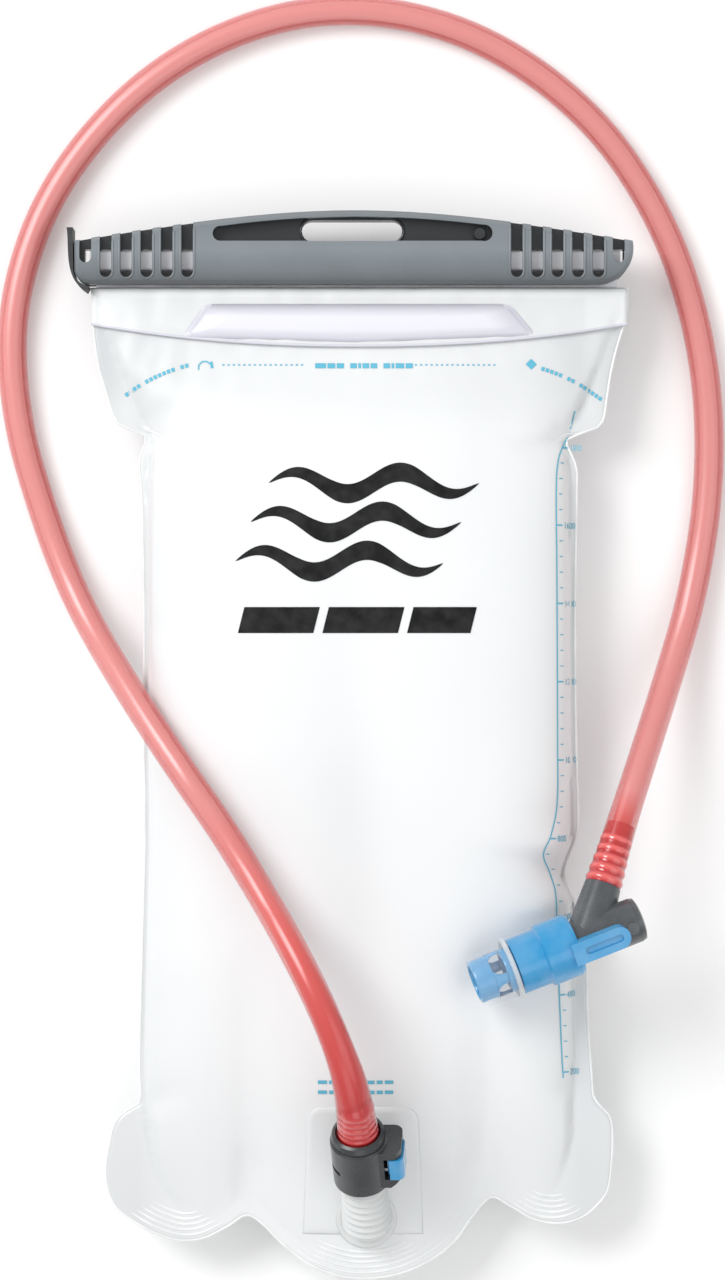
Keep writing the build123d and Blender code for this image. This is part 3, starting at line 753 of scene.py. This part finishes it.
class BladderSizes(bpy.types.PropertyGroup):
    film_thickness: length_setting("Film thickness", "Wall of the film", 0.00035)
    hose_diameter: length_setting("Hose diameter", "Outside diameter of the hose", 0.010)
    hose_length: length_setting("Hose length", "Length along the hose's middle", 0.860)
    hose_bore: length_setting("Hose bore", "Inside diameter of the hose", 0.0064)
    ridge_radius: length_setting("Weld ridge", "Radius of a raised weld line", 0.0006)


# ---- operators -------------------------------------------------------------------------
class BLADDER_OT_stage(bpy.types.Operator):
    """Camera, lights and a pale floor"""

    bl_idname = "bladder.stage"
    bl_label = "Stage"

    world_strength = 0.66
    floor_colour = (0.93, 0.93, 0.93)
    floor_reach = 6.0
    lens = 119.94
    eye_place = (0.0012, 0.0354, 1.450)
    aim_place = (0, 0.03, 0.02)
    lights = (     # name, place, size, power
        ("key", (-1.0, 0.8, 1.3), 0.9, 21.0),
        ("fill", (1.2, -0.4, 1.6), 1.6, 7.0),
        ("foot", (0.1, -1.5, 1.3), 1.2, 4.0),
    )

    def execute(self, context):
        scene = context.scene
        scene.view_settings.view_transform = "Standard"
        world = bpy.data.worlds.new("studio")
        scene.world = world
        world.use_nodes = True
        background = world.node_tree.nodes["Background"]
        background.inputs["Color"].default_value = (1.0, 1.0, 1.0, 1)
        background.inputs["Strength"].default_value = self.world_strength

        floor_mesh = bpy.data.meshes.new("floor")
        bm = bmesh.new()
        bmesh.ops.create_grid(bm, x_segments=1, y_segments=1, size=self.floor_reach)
        bm.to_mesh(floor_mesh)
        bm.free()
        floor = bpy.data.objects.new("floor", floor_mesh)
        scene.collection.objects.link(floor)
        floor_mesh.materials.append(new_material("pale_floor", self.floor_colour, 0.9)[0])

        for name, place, size, power in self.lights:
            light = bpy.data.lights.new(name, "AREA")
            light.size = size
            light.energy = power
            lamp = bpy.data.objects.new(name, light)
            scene.collection.objects.link(lamp)
            lamp.location = place
            aim = Vector(self.aim_place) - Vector(place)
            lamp.rotation_euler = aim.to_track_quat("-Z", "Y").to_euler()

        camera = bpy.data.cameras.new("camera")
        camera.lens = self.lens
        camera.clip_end = 20
        eye = bpy.data.objects.new("camera", camera)
        scene.collection.objects.link(eye)
        eye.location = self.eye_place
        scene.camera = eye
        return {"FINISHED"}


class BLADDER_OT_film(bpy.types.Operator):
    """Front and back film panels and the bead of weld that joins them"""

    bl_idname = "bladder.film"
    bl_label = "Film panels"

    columns = 128
    rows = 232

    def execute(self, context):
        self.panel("front_panel", front_z, "front_film", False)
        self.panel("back_panel", back_z, "back_film", True)
        self.baffle()
        self.weld_bead()
        return {"FINISHED"}

    def panel(self, name, height, node, back):
        def place(u, v):
            plan = film_place(u, v)
            return Vector((plan.x, plan.y, height(plan.x, plan.y)))

        bm = bmesh.new()
        grid_sheet(bm, self.columns, self.rows, place)
        set_tone(bm, lambda co: self.tone(co.x, co.y))
        if back:
            bmesh.ops.reverse_faces(bm, faces=bm.faces)
        piece = make_piece(name, bm, "reservoir", material_named("film"), (node,))
        thicken(piece, bpy.context.scene.bladder_sizes.film_thickness)

    def tone(self, x, y):
        """Painted shade: lighter in the middle, greyer at the sides and foot where the bag turns away from
        the light; also greyer at the mouth and over the baffle.
        """
        side = clamp(abs(x) / 74)
        # Painted shade at the sides and the foot, where the puffed bag turns away from the light.
        light = 0.96 - 0.34 * side ** 6
        light -= 0.18 * ease((-y - 96) / 50)
        light -= 0.34 * ease((y - 98) / 26) * (0.45 + 0.55 * side)
        light -= 0.16 * math.exp(-((x / 12) ** 2)) * ease((30 - y) / 60) * ease((y + 110) / 60)
        light += 0.09 * noise.noise(Vector((x * 0.025, y * 0.018, 0.0)))
        light += 0.22 * math.exp(-(((abs(x) - 78) / 4.5) ** 2)) * ease((y - 104) / 10)
        return clamp(light)

    def baffle(self):
        """The web that ties the panels together down the middle of the bag."""
        def place(u, v):
            y = lerp(-105, 70, u)
            return Vector((0, y, lerp(back_z(0, y) + 1.0, front_z(0, y) - 1.2, v)))

        bm = bmesh.new()
        grid_sheet(bm, 90, 12, place)
        bmesh.ops.solidify(bm, geom=list(bm.faces), thickness=0.5)
        close_faces(bm)
        make_piece("baffle_web", bm, "reservoir", material_named("film"), ("centre_baffle",))

    def weld_bead(self):
        edge = new_wire("welded_edge", FILM_GAP * 1.6 * MM, 2)
        add_run(edge, [(point.x, point.y, SEAM_Z) for point in film_outline(150)])
        finish_wire(edge, "reservoir", material_named("weld"), ("perimeter_weld",))


class BLADDER_OT_weld_lines(bpy.types.Operator):
    """Raised weld lines that follow the edge of each scallop"""

    bl_idname = "bladder.weld_lines"
    bl_label = "Weld lines"

    lobes = ((-80, -42), (-31, 36), (48, 78))
    insets = (1.9, 3.7, 5.5, 7.3, 9.1)

    def execute(self, context):
        for lobe, (start, end) in enumerate(self.lobes):
            for line, inset in enumerate(self.insets):
                inner_start = lerp(start, end, 0.03 * line)
                inner_end = lerp(end, start, 0.04 * line)
                name = f"weld_line_{lobe + 1}_{line + 1}"
                self.ridge(context.scene.bladder_sizes.ridge_radius, name, inner_start, inner_end, inset)
        return {"FINISHED"}

    def ridge(self, radius, name, start, end, inset):
        count = 48
        points, radii = [], []
        for index in range(count + 1):
            x = lerp(start, end, index / count)
            slope = flowing(FOOT, x + 0.5) - flowing(FOOT, x - 0.5)
            normal = Vector((-slope, 1)).normalized()
            place = Vector((x, flowing(FOOT, x))) + normal * inset
            points.append((place.x, place.y, front_z(place.x, place.y) - 0.25))
            radii.append(max(math.sin(math.pi * index / count) ** 0.5, 0.05))
        ridge = new_wire(name, radius, 2)
        add_run(ridge, points, radii=radii)
        finish_wire(ridge, "reservoir", material_named("weld"))


class BLADDER_OT_mouth(bpy.types.Operator):
    """Folded flap under the slide bar, its rolled lip and the stiff tapered plates"""

    bl_idname = "bladder.mouth"
    bl_label = "Mouth"

    wall = 0.0006     # thickness of the flap and the plates

    def flap_low(self, x):
        return 133.8 + 7.6 * abs(x / 90) ** 2.2

    def execute(self, context):
        self.flap()
        self.lip()
        self.plate()
        self.back_plate()
        finish_nodes(material_named("white"), "seal_rail")
        return {"FINISHED"}

    def flap(self):
        def place(u, v):
            x = lerp(FLAP_LEFT, FLAP_RIGHT, u)
            y = lerp(self.flap_low(x), 153.2, v)
            return on_film(x, y, 1.1 + 0.5 * math.exp(-((v / 0.12) ** 2)))

        # Painted shadow of the slide bar: the tone darkens the top of the flap under the bar, and is lighter
        # in a band just below it and beyond the panel outline.
        def tone(co):
            panel = ease((abs(co.x) - 75.5) / 1.2) + ease((co.y - 149.6) / 0.8)
            return 0.6 + 0.14 * clamp(panel) - 0.5 * ease((co.y - 151.4) / 1.4)

        bm = bmesh.new()
        grid_sheet(bm, 120, 26, place)
        set_tone(bm, tone)
        flap = make_piece("folded_flap", bm, "reservoir", material_named("film"), ("mouth_flap",))
        thicken(flap, self.wall)

    def lip(self):
        count = 90
        lip = new_wire("flap_lip", 0.0005, 3)
        columns = [lerp(FLAP_LEFT, FLAP_RIGHT, index / count) for index in range(count + 1)]
        add_run(lip, [(x, self.flap_low(x), front_z(x, self.flap_low(x)) + 1.2) for x in columns])
        finish_wire(lip, "reservoir", material_named("plate"))

    def plate(self):
        """A tapered plate with a sloped rim all round."""
        corners = [(-59.5, 136.2), (-51.5, 147.8), (50.5, 147.8), (59.5, 137.0), (0, 134.6)]
        bm = bmesh.new()
        bm.faces.new([bm.verts.new((x, y, 0)) for x, y in corners])
        bmesh.ops.recalc_face_normals(bm, faces=bm.faces)
        bmesh.ops.bevel(
            bm, geom=[v for v in bm.verts if v.co.y > 136.1], offset=2.6, affect="VERTICES",
            segments=4, profile=0.5, material=-1,
        )
        bmesh.ops.inset_region(bm, faces=list(bm.faces), thickness=3.4, depth=0)
        bmesh.ops.triangulate(bm, faces=bm.faces)
        bmesh.ops.subdivide_edges(bm, edges=bm.edges, cuts=5, use_grid_fill=True)
        for vert in bm.verts:
            depth = self.plate_depth(vert.co.x, vert.co.y, corners)
            vert.co = on_film(vert.co.x, vert.co.y, 1.35 + 1.7 * ease(depth / 3.2))
        # Painted shade: the tone darkens the sloping rim all round, and the plate is a little darker towards
        # its lower edge.
        set_tone(bm, lambda co: (
            ease((self.plate_depth(co.x, co.y, corners) - 2.2) / 1.6) * (0.8 + 0.2 * ease((co.y - 136) / 10))
        ))
        for face in bm.faces:
            if face.normal.z < 0:
                face.normal_flip()
        made = make_piece(
            "stiffener_plate", bm, "reservoir", material_named("plate"), ("front_stiffener",),
        )
        thicken(made, self.wall)

    def plate_depth(self, x, y, corners):
        """Distance in from the plate's nearest side."""
        nearest = 1e9
        here = Vector((x, y))
        for start, end in zip(corners, corners[1:] + corners[:1]):
            start, end = Vector(start), Vector(end)
            along = end - start
            t = clamp((here - start).dot(along) / along.length_squared)
            nearest = min(nearest, (here - start - along * t).length)
        return nearest

    def back_plate(self):
        def place(u, v):
            x = lerp(-75, 75, u)
            y = lerp(137.6, 151.4, v)
            return Vector((x, y, back_z(x, y) - 0.5 - 0.6 * bevelled_edge(u, v, 0.04, 0.25)))

        bm = bmesh.new()
        grid_sheet(bm, 100, 16, place)
        bmesh.ops.reverse_faces(bm, faces=bm.faces)
        plate = make_piece(
            "stiffener_plate_back", bm, "reservoir", material_named("white"), ("back_stiffener",),
        )
        thicken(plate, self.wall)


class BLADDER_OT_prints(bpy.types.Operator):
    """Printed volume scale, fill line and plain dashes where the instructions stand"""

    bl_idname = "bladder.prints"
    bl_label = "Prints"

    scale_low, scale_high = -111.0, 112.0
    tick_count, tick_step = 41, 5.22
    number_low, number_step, number_size = -109.0, 26.1, 3.3
    fill_y, fill_x = 127.0, -14.6

    def ribbon(self, bm, path, length, width):
        """A printed line along path(t), as a narrow sheet lying on the film."""
        columns = max(2, round(length / 1.5))

        def place(u, v):
            ahead = path(min(u + 0.01, 1.0)) - path(max(u - 0.01, 0.0))
            plan = path(u) + Vector((-ahead.y, ahead.x)).normalized() * width * (v - 0.5)
            return on_film(plan.x, plan.y, PRINT_LIFT)

        grid_sheet(bm, columns, 1, place)

    def straight(self, bm, start, end, width):
        start, end = Vector(start), Vector(end)
        self.ribbon(bm, lambda t: start.lerp(end, t), (end - start).length, width)

    def scale_x(self, y):
        """The scale line wanders with the film."""
        return flowing([
            (-115, 68.6), (-100, 67.6), (-60, 65.9), (-48, 65.4), (-42, 63.6), (-36, 61.4), (-30, 63.8),
            (-20, 66.0), (0, 66.2), (60, 66.0), (88, 65.9), (97, 67.0), (104, 70.2), (112, 72.4),
        ], y)

    def execute(self, context):
        self.scale()
        self.numbers()
        self.fill_line()
        self.instructions()
        return {"FINISHED"}

    def scale(self):
        def spine(t):
            y = lerp(self.scale_low, self.scale_high, t)
            return Vector((self.scale_x(y), y))

        bm = bmesh.new()
        self.ribbon(bm, spine, self.scale_high - self.scale_low, 0.42)
        for index in range(self.tick_count):
            y = self.scale_low + 2 + index * self.tick_step
            long_tick = index % 5 == 0
            x = self.scale_x(y)
            reach = 1.9 if long_tick else 1.1
            start = x + (0.2 if long_tick else 1.0)
            self.straight(bm, (start, y), (start + reach, y), 0.5 if long_tick else 0.34)
        make_print("printed_scale", bm)

    def numbers(self):
        """The plain volume numbers beside the long ticks."""
        bm = bmesh.new()
        for index in range(9):
            y = self.number_low + index * self.number_step
            text = bpy.data.curves.new("number", "FONT")
            text.body = str(200 * (index + 1))
            text.size = self.number_size
            text.resolution_u = 3
            holder = bpy.data.objects.new("number", text)
            bpy.context.scene.collection.objects.link(holder)
            mesh = bpy.data.meshes.new_from_object(holder)
            bpy.data.objects.remove(holder)
            part = bmesh.new()
            part.from_mesh(mesh)
            for vert in part.verts:
                x = self.scale_x(y) + 2.6 + vert.co.x * 0.62
                flat_y = y - 1.1 + vert.co.y * 0.9
                vert.co = on_film(x, flat_y, PRINT_LIFT)
            part.to_mesh(mesh)
            part.free()
            bm.from_mesh(mesh)
            bpy.data.meshes.remove(mesh)
        make_print("printed_numbers", bm)

    def fill_line(self):
        """A level line across the bag: bold bars in the middle, fine dots to each side."""
        bm = bmesh.new()
        x, y = self.fill_x, self.fill_y
        for width in (3.6, 2.6, 2.4, 0, 2.2, 0.9, 2.2, 2.2, 0, 2.2, 0.9, 2.8, 2.4):
            if width:
                self.straight(bm, (x, y), (x + width, y), 1.7)
            x += (width or 1.1) + 0.5     # a zero leaves a gap
        for side in (-1, 1):
            for index in range(16):
                dot = side * (19.0 + index * 1.75)
                self.straight(bm, (dot - 0.35, y + 0.3), (dot + 0.35, y + 0.3), 0.5)
        make_print("printed_fill_line", bm)

    def arc(self, middle, radius, start, end):
        middle = Vector(middle)

        def path(t):
            angle = math.radians(lerp(start, end, t))
            return middle + Vector((math.cos(angle), math.sin(angle))) * radius

        return path

    def instructions(self):
        """Curved rows of dashes with a turning arrow at the left and a dot at the right."""
        bm = bmesh.new()
        left = self.arc((-40.7, 64.3), 65.0, 125.3, 104.1)
        right = self.arc((42.8, 64.7), 64.1, 73.5, 52.7)
        for path, gaps in ((left, (4, 12)), (right, (5, 8))):
            for index in range(15):
                if index in gaps:
                    continue
                first = index / 15
                self.ribbon(bm, lambda t, a=first: path(a + t * 0.048), 2.0, 1.3)
        self.ribbon(bm, self.arc((-51.5, 126.4), 2.2, 30, 200), 6.0, 0.5)
        self.straight(bm, (-49.4, 128.4), (-49.0, 126.2), 0.9)
        self.ribbon(bm, self.arc((57.6, 127.6), 1.0, 0, 359), 6.0, 1.7)
        for y in (-111.2, -114.6):
            x = -13.6
            for width in (3.0, 1.4, 2.2, 1.8, 2.6, 1.2, 2.4, 2.0, 2.8):
                self.straight(bm, (x, y), (x + width, y), 1.2)
                x += width + 0.7
        make_print("printed_dashes", bm)


class BLADDER_OT_mark(bpy.types.Operator):
    """A bold generic mark of stacked waves on the front panel"""

    bl_idname = "bladder.mark"
    bl_label = "Wave mark"

    def execute(self, context):
        bm = bmesh.new()
        for y, left, right in ((87.5, -30, 40), (74.5, -36, 34), (61.5, -41, 28)):
            self.wave(bm, left, right, y, 6.4)
        for left, right in ((-39, -14), (-11, 14), (17, 38)):
            self.bar(bm, left, right, 42.0, 8.6)
        make_print("printed_wave_mark", bm, "black_ink")
        return {"FINISHED"}

    def wave(self, bm, left, right, y, width):
        def place(u, v):
            x = lerp(left, right, u)
            taper = min(1.0, 3.2 * u, 3.2 * (1 - u)) ** 0.7
            middle = y + 3.6 * math.sin((x - left) * math.tau / 35)
            return on_film(x, middle + width * taper * (v - 0.5), PRINT_LIFT)

        grid_sheet(bm, round((right - left) / 0.9), 4, place)

    def bar(self, bm, left, right, y, height):
        """A slanted block with square ends."""
        def place(u, v):
            flat_y = y + height * (v - 0.5)
            return on_film(lerp(left, right, u) + 0.25 * (flat_y - y), flat_y, PRINT_LIFT)

        grid_sheet(bm, round(right - left), 6, place)


class BLADDER_OT_patch(bpy.types.Operator):
    """Welded patch round the outlet"""

    bl_idname = "bladder.patch"
    bl_label = "Outlet patch"

    def execute(self, context):
        corner_radius = 5.0

        def place(u, v):
            half = lerp(20.2, 18.4, v)
            corner = corner_radius / 44
            pull = 0.0
            if v > 1 - corner:
                t = (v - 1 + corner) / corner
                pull = corner_radius * (1 - math.sqrt(max(1 - t * t, 0.0)))
            x = 1.4 + (u - 0.5) * 2 * (half - pull)
            y = lerp(-163.5, -119.6, v)
            return Vector((x, y, front_z(x, y) + 0.12 + 0.5 * bevelled_edge(u, v, 0.04, 0.04)))

        bm = bmesh.new()
        grid_sheet(bm, 60, 66, place)
        set_tone(bm, lambda co: 0.72)
        patch = make_piece("outlet_patch", bm, "reservoir", material_named("film"), ("port_patch",))
        thicken(patch, 0.0004)
        return {"FINISHED"}


class BLADDER_OT_boot(bpy.types.Operator):
    """Ringed silicone boot between the bag and the coupling"""

    bl_idname = "bladder.boot"
    bl_label = "Outlet boot"

    foot, top = -8.6, 15.2     # along the port's axis
    ring_pitch, ring_depth = 2.9, 0.5

    def execute(self, context):
        profile = [(0.0, -8.7)]
        steps = 120
        for index in range(steps + 1):
            along = lerp(self.foot, self.top, index / steps)
            full = lerp(8.4, 7.3, clamp((along + 2.5) / 17))
            if along < -2.0:
                full = 8.4 * math.sqrt(max(1 - ((along + 2.0) / 6.75) ** 2, 0.01))
            ripple = self.ring_depth * math.cos(math.tau * along / self.ring_pitch)
            profile.append((full - 0.35 + ripple * clamp((along - self.foot) / 2.5), along))
        profile += [(6.9, 15.9), (6.9, 18.1), (6.0, 18.2)]
        bm = bmesh.new()
        spun(bm, profile, 72, PORT)
        close_faces(bm)
        boot = make_piece(
            "outlet_boot", bm, "reservoir", material_named("milky"), ("port_bellows",),
        )
        thicken(boot, 0.0009)
        self.flange()
        finish_nodes(material_named("white"), "port_socket", "poppet_valve")
        finish_nodes(material_named("steel"), "poppet_spring")
        return {"FINISHED"}

    def flange(self):
        def place(u, v):
            angle = u * math.tau
            radius = lerp(7.5, 10.2, v)
            x = PORT_BASE.x + radius * math.cos(angle)
            y = PORT_BASE.y - 2.0 + radius * math.sin(angle)
            return Vector((x, y, front_z(x, y) + 0.75 + 0.5 * math.sin(math.pi * v)))

        bm = bmesh.new()
        grid_sheet(bm, 72, 5, place)
        bmesh.ops.remove_doubles(bm, verts=bm.verts, dist=1e-4)
        close_faces(bm)
        ring = make_piece("outlet_flange", bm, "reservoir", material_named("milky"))
        thicken(ring, 0.0005)


class BLADDER_OT_hose(bpy.types.Operator):
    """Red drinking hose with its bore and the swollen ends over the barbs"""

    bl_idname = "bladder.hose"
    bl_label = "Drinking hose"

    def route_curve(self, name, diameter, flare, material, replaces=()):
        hose = new_wire(name, diameter / 2, 7)
        hose.data.resolution_u = 10
        radii = [flare.get(index, 1.0) for index in range(len(HOSE_ROUTE))]
        spline = add_run(hose, HOSE_ROUTE, "NURBS", 1, radii)
        spline.order_u = 3
        spline.use_endpoint_u = True
        finish_wire(hose, "hose", material_named(material), replaces)
        return hose

    def execute(self, context):
        sizes = context.scene.bladder_sizes
        last = len(HOSE_ROUTE) - 1
        swollen = {0: 1.34, 1: 1.2, last: 1.18, last - 1: 1.02}
        hose = self.route_curve("drinking_hose", sizes.hose_diameter, swollen, "hose", ("drink_tube",))
        filled = {0: 1.85, 1: 1.74, 2: 1.48, 3: 1.3, 4: 1.12}
        bore = self.route_curve("hose_bore", sizes.hose_bore, filled, "inner_wall")
        grip = self.grip("hose_grip_valve", LEG, LEG_LENGTH + 0.1, 17.5, 5, 6.15, 5.3, 1.0)
        grip_low = self.grip("hose_grip_coupling", PORT, COUPLING_END + 0.1, 15.0, 6, 7.0, 6.3, 0.35)
        return {"FINISHED"}

    def grip(self, name, matrix, start, length, count, wide, narrow, depth):
        """The end of the hose stretched over its barbs, with count swellings of this depth."""
        def crest(t):
            return 0.5 - 0.5 * math.cos(math.tau * count * t)

        steps = 60
        profile = [(wide - 1.4, start)]
        for index in range(steps + 1):
            t = index / steps
            swell_out = 0.5 * depth * crest(t) * (1 - 0.3 * t)
            radius = lerp(wide, narrow, ease(t)) - 0.25 + swell_out
            profile.append((radius, start + t * length))
        profile += [(narrow - 0.6, start + length + 1.2), (4.6, start + length + 4.0)]
        bm = bmesh.new()
        spun(bm, profile, 64, matrix)
        back = matrix.inverted()
        set_tone(bm, lambda co: depth * crest(clamp(((back @ co).z - start) / length)))
        close_faces(bm)
        return make_piece(name, bm, "hose", material_named("grip"))


class BLADDER_OT_coupling(bpy.types.Operator):
    """Finishes on the quick-release coupling's parts"""

    bl_idname = "bladder.coupling"
    bl_label = "Coupling"

    def execute(self, context):
        finish_nodes(material_named("dark"), "coupling_body", "hose_collar", "plug_stem")
        finish_nodes(material_named("blue"), "release_button")
        finish_nodes(material_named("steel"), "latch_plate", "button_spring")
        finish_nodes(material_named("rubber"), "plug_o_ring")
        return {"FINISHED"}


class BLADDER_OT_valve(bpy.types.Operator):
    """Bite valve: clear sheath, blue cage, and finishes on the moulded parts"""

    bl_idname = "bladder.valve"
    bl_label = "Bite valve"

    def execute(self, context):
        finish_nodes(material_named("elbow"), "elbow_body", "elbow_end_cap")
        finish_nodes(material_named("blue"), "shutoff_collar", "shutoff_spool")
        finish_nodes(material_named("rubber"), "spool_o_ring")
        self.sheath()
        self.cage()
        return {"FINISHED"}

    def sheath(self):
        wall = [
            (7.75, 26.0), (10.6, 25.9), (10.7, 27.2), (9.5, 27.8), (9.15, 29.4), (9.25, 33.5),
            (9.0, 37.4), (8.5, 39.4), (7.9, 40.0), (7.4, 39.8), (7.4, 38.4), (7.75, 37.0), (7.75, 26.0),
        ]
        rim = [(9.3, 26.0), (10.65, 25.95), (10.75, 27.15), (9.6, 27.75), (9.3, 26.0)]
        for name, profile, corner, material, replaces in (
            ("bite_sheath_clear", wall, 0.6, "clear", ("bite_sheath",)),
            ("bite_sheath_rim", rim, 0.35, "frosted", ()),
        ):
            bm = bmesh.new()
            spun(bm, rounded(profile, corner), 80, VALVE)
            close_faces(bm)
            make_piece(name, bm, "mouthpiece", material_named(material), replaces)

    def cage(self):
        """The blue cage seen through the sheath: a ring, four flared ribs and the mouth ring."""
        bm = bmesh.new()
        lower = [(5.6, 25.45), (7.4, 25.45), (7.4, 29.2), (5.6, 29.2), (5.6, 25.45)]
        upper = [(5.6, 33.6), (7.3, 33.6), (7.1, 36.8), (7.2, 39.2), (6.9, 39.9), (5.9, 39.9), (5.6, 33.6)]
        spun(bm, rounded(lower, 0.3, 2), 72, VALVE)
        spun(bm, rounded(upper, 0.3, 2), 72, VALVE)
        for turn in (0, 90, 180, 270):
            self.rib(bm, turn, 14, 29.0, 33.8)
        close_faces(bm)
        make_piece(
            "mouthpiece_cage", bm, "shutoff", material_named("blue"), ("mouthpiece_core",),
        )

    def rib(self, bm, turn, half_angle, low, high):
        made = bmesh.ops.create_grid(bm, x_segments=8, y_segments=4, size=0.5)
        faces = {face for vert in made["verts"] for face in vert.link_faces}
        for vert in made["verts"]:
            flare = 1 + 1.1 * ease((vert.co.y - 0.1) / 0.4)
            angle = math.radians(turn + vert.co.x * 2 * half_angle * flare)
            height = lerp(low, high, vert.co.y + 0.5)
            vert.co = VALVE @ Vector((7.35 * math.cos(angle), 7.35 * math.sin(angle), height))
        bmesh.ops.solidify(bm, geom=list(faces), thickness=1.5)


class BLADDER_OT_slide(bpy.types.Operator):
    """Raised rims round the slide bar's slots and window, and finishes on its moulded parts"""

    bl_idname = "bladder.slide"
    bl_label = "Slide seal"

    slot_starts = ((-57.3, -6.8), (52.7, 6.8))     # innermost slot and the step outwards
    slot_foot, slot_half, slot_rim_z = 156.4, 2.35, 27.35
    window_middle, window_reach, window_half, window_rim_z = (-2.3, 172.3), 17.3, 4.15, 22.1

    def execute(self, context):
        finish_nodes(material_named("grey"), "slide_bar")
        finish_nodes(material_named("rubber"), "end_lip")
        finish_nodes(material_named("dark"), "tether_peg")
        rims = new_wire("slot_rims", 0.0005, 2)
        for start, step in self.slot_starts:
            for index in range(5):
                self.slot_rim(rims, start + index * step)
        self.window_rim(rims)
        finish_wire(rims, "slide_seal", material_named("grey"))
        return {"FINISHED"}

    def top_edge(self, x):
        """Height of the bar's bowed upper edge, less its chamfer."""
        bow = [(-95, 168.8), (-55, 174.9), (0, 178.9), (52, 174.9), (91.4, 168.8)]
        return flowing(bow, x) - 2.0

    def half_turn(self, x, y, radius, start):
        """Nine points round half a circle, from an angle in degrees."""
        angles = [math.radians(start + 180 * index / 8) for index in range(9)]
        return [(x + radius * math.cos(angle), y + radius * math.sin(angle)) for angle in angles]

    def slot_rim(self, rims, x):
        """An open loop down one side of a grip slot, round its foot and up the other."""
        top = self.top_edge(x)
        around = self.half_turn(x, self.slot_foot + 2.0, self.slot_half, 180)
        points = [(x - self.slot_half, top), *around, (x + self.slot_half, top)]
        add_run(rims, [(*point, self.slot_rim_z) for point in points])

    def window_rim(self, rims):
        """A closed loop round the window."""
        x, y = self.window_middle
        straight = self.window_reach - self.window_half
        points = self.half_turn(x + straight, y, self.window_half, -90)
        points += self.half_turn(x - straight, y, self.window_half, 90)
        add_run(rims, [(*point, self.window_rim_z) for point in points]).use_cyclic_u = True


STEPS = (
    BLADDER_OT_stage,
    BLADDER_OT_film,
    BLADDER_OT_weld_lines,
    BLADDER_OT_mouth,
    BLADDER_OT_prints,
    BLADDER_OT_mark,
    BLADDER_OT_patch,
    BLADDER_OT_boot,
    BLADDER_OT_coupling,
    BLADDER_OT_valve,
    BLADDER_OT_hose,
    BLADDER_OT_slide,
)


class BLADDER_PT_panel(bpy.types.Panel):
    """Lists the bladder's pieces in the sidebar"""

    bl_idname = "BLADDER_PT_panel"
    bl_label = "Hydration bladder"
    bl_space_type = "VIEW_3D"
    bl_region_type = "UI"
    bl_category = "Bladder"

    def draw(self, context):
        column = self.layout.column()
        for group in (context.scene.bladder_look, context.scene.bladder_sizes):
            for name in group.__annotations__:
                column.prop(group, name)
        for step in STEPS:
            column.operator(step.bl_idname)


CLASSES = (BladderLook, BladderSizes, *STEPS, BLADDER_PT_panel)


def register():
    for cls in CLASSES:
        bpy.utils.register_class(cls)
    bpy.types.Scene.bladder_look = bpy.props.PointerProperty(type=BladderLook)
    bpy.types.Scene.bladder_sizes = bpy.props.PointerProperty(type=BladderSizes)


def unregister():
    del bpy.types.Scene.bladder_sizes
    del bpy.types.Scene.bladder_look
    for cls in reversed(CLASSES):
        bpy.utils.unregister_class(cls)


def main():
    register()
    for step in STEPS:
        group, name = step.bl_idname.split(".")
        getattr(getattr(bpy.ops, group), name)()
    bpy.context.view_layer.update()


if __name__ == "__main__":
    main()
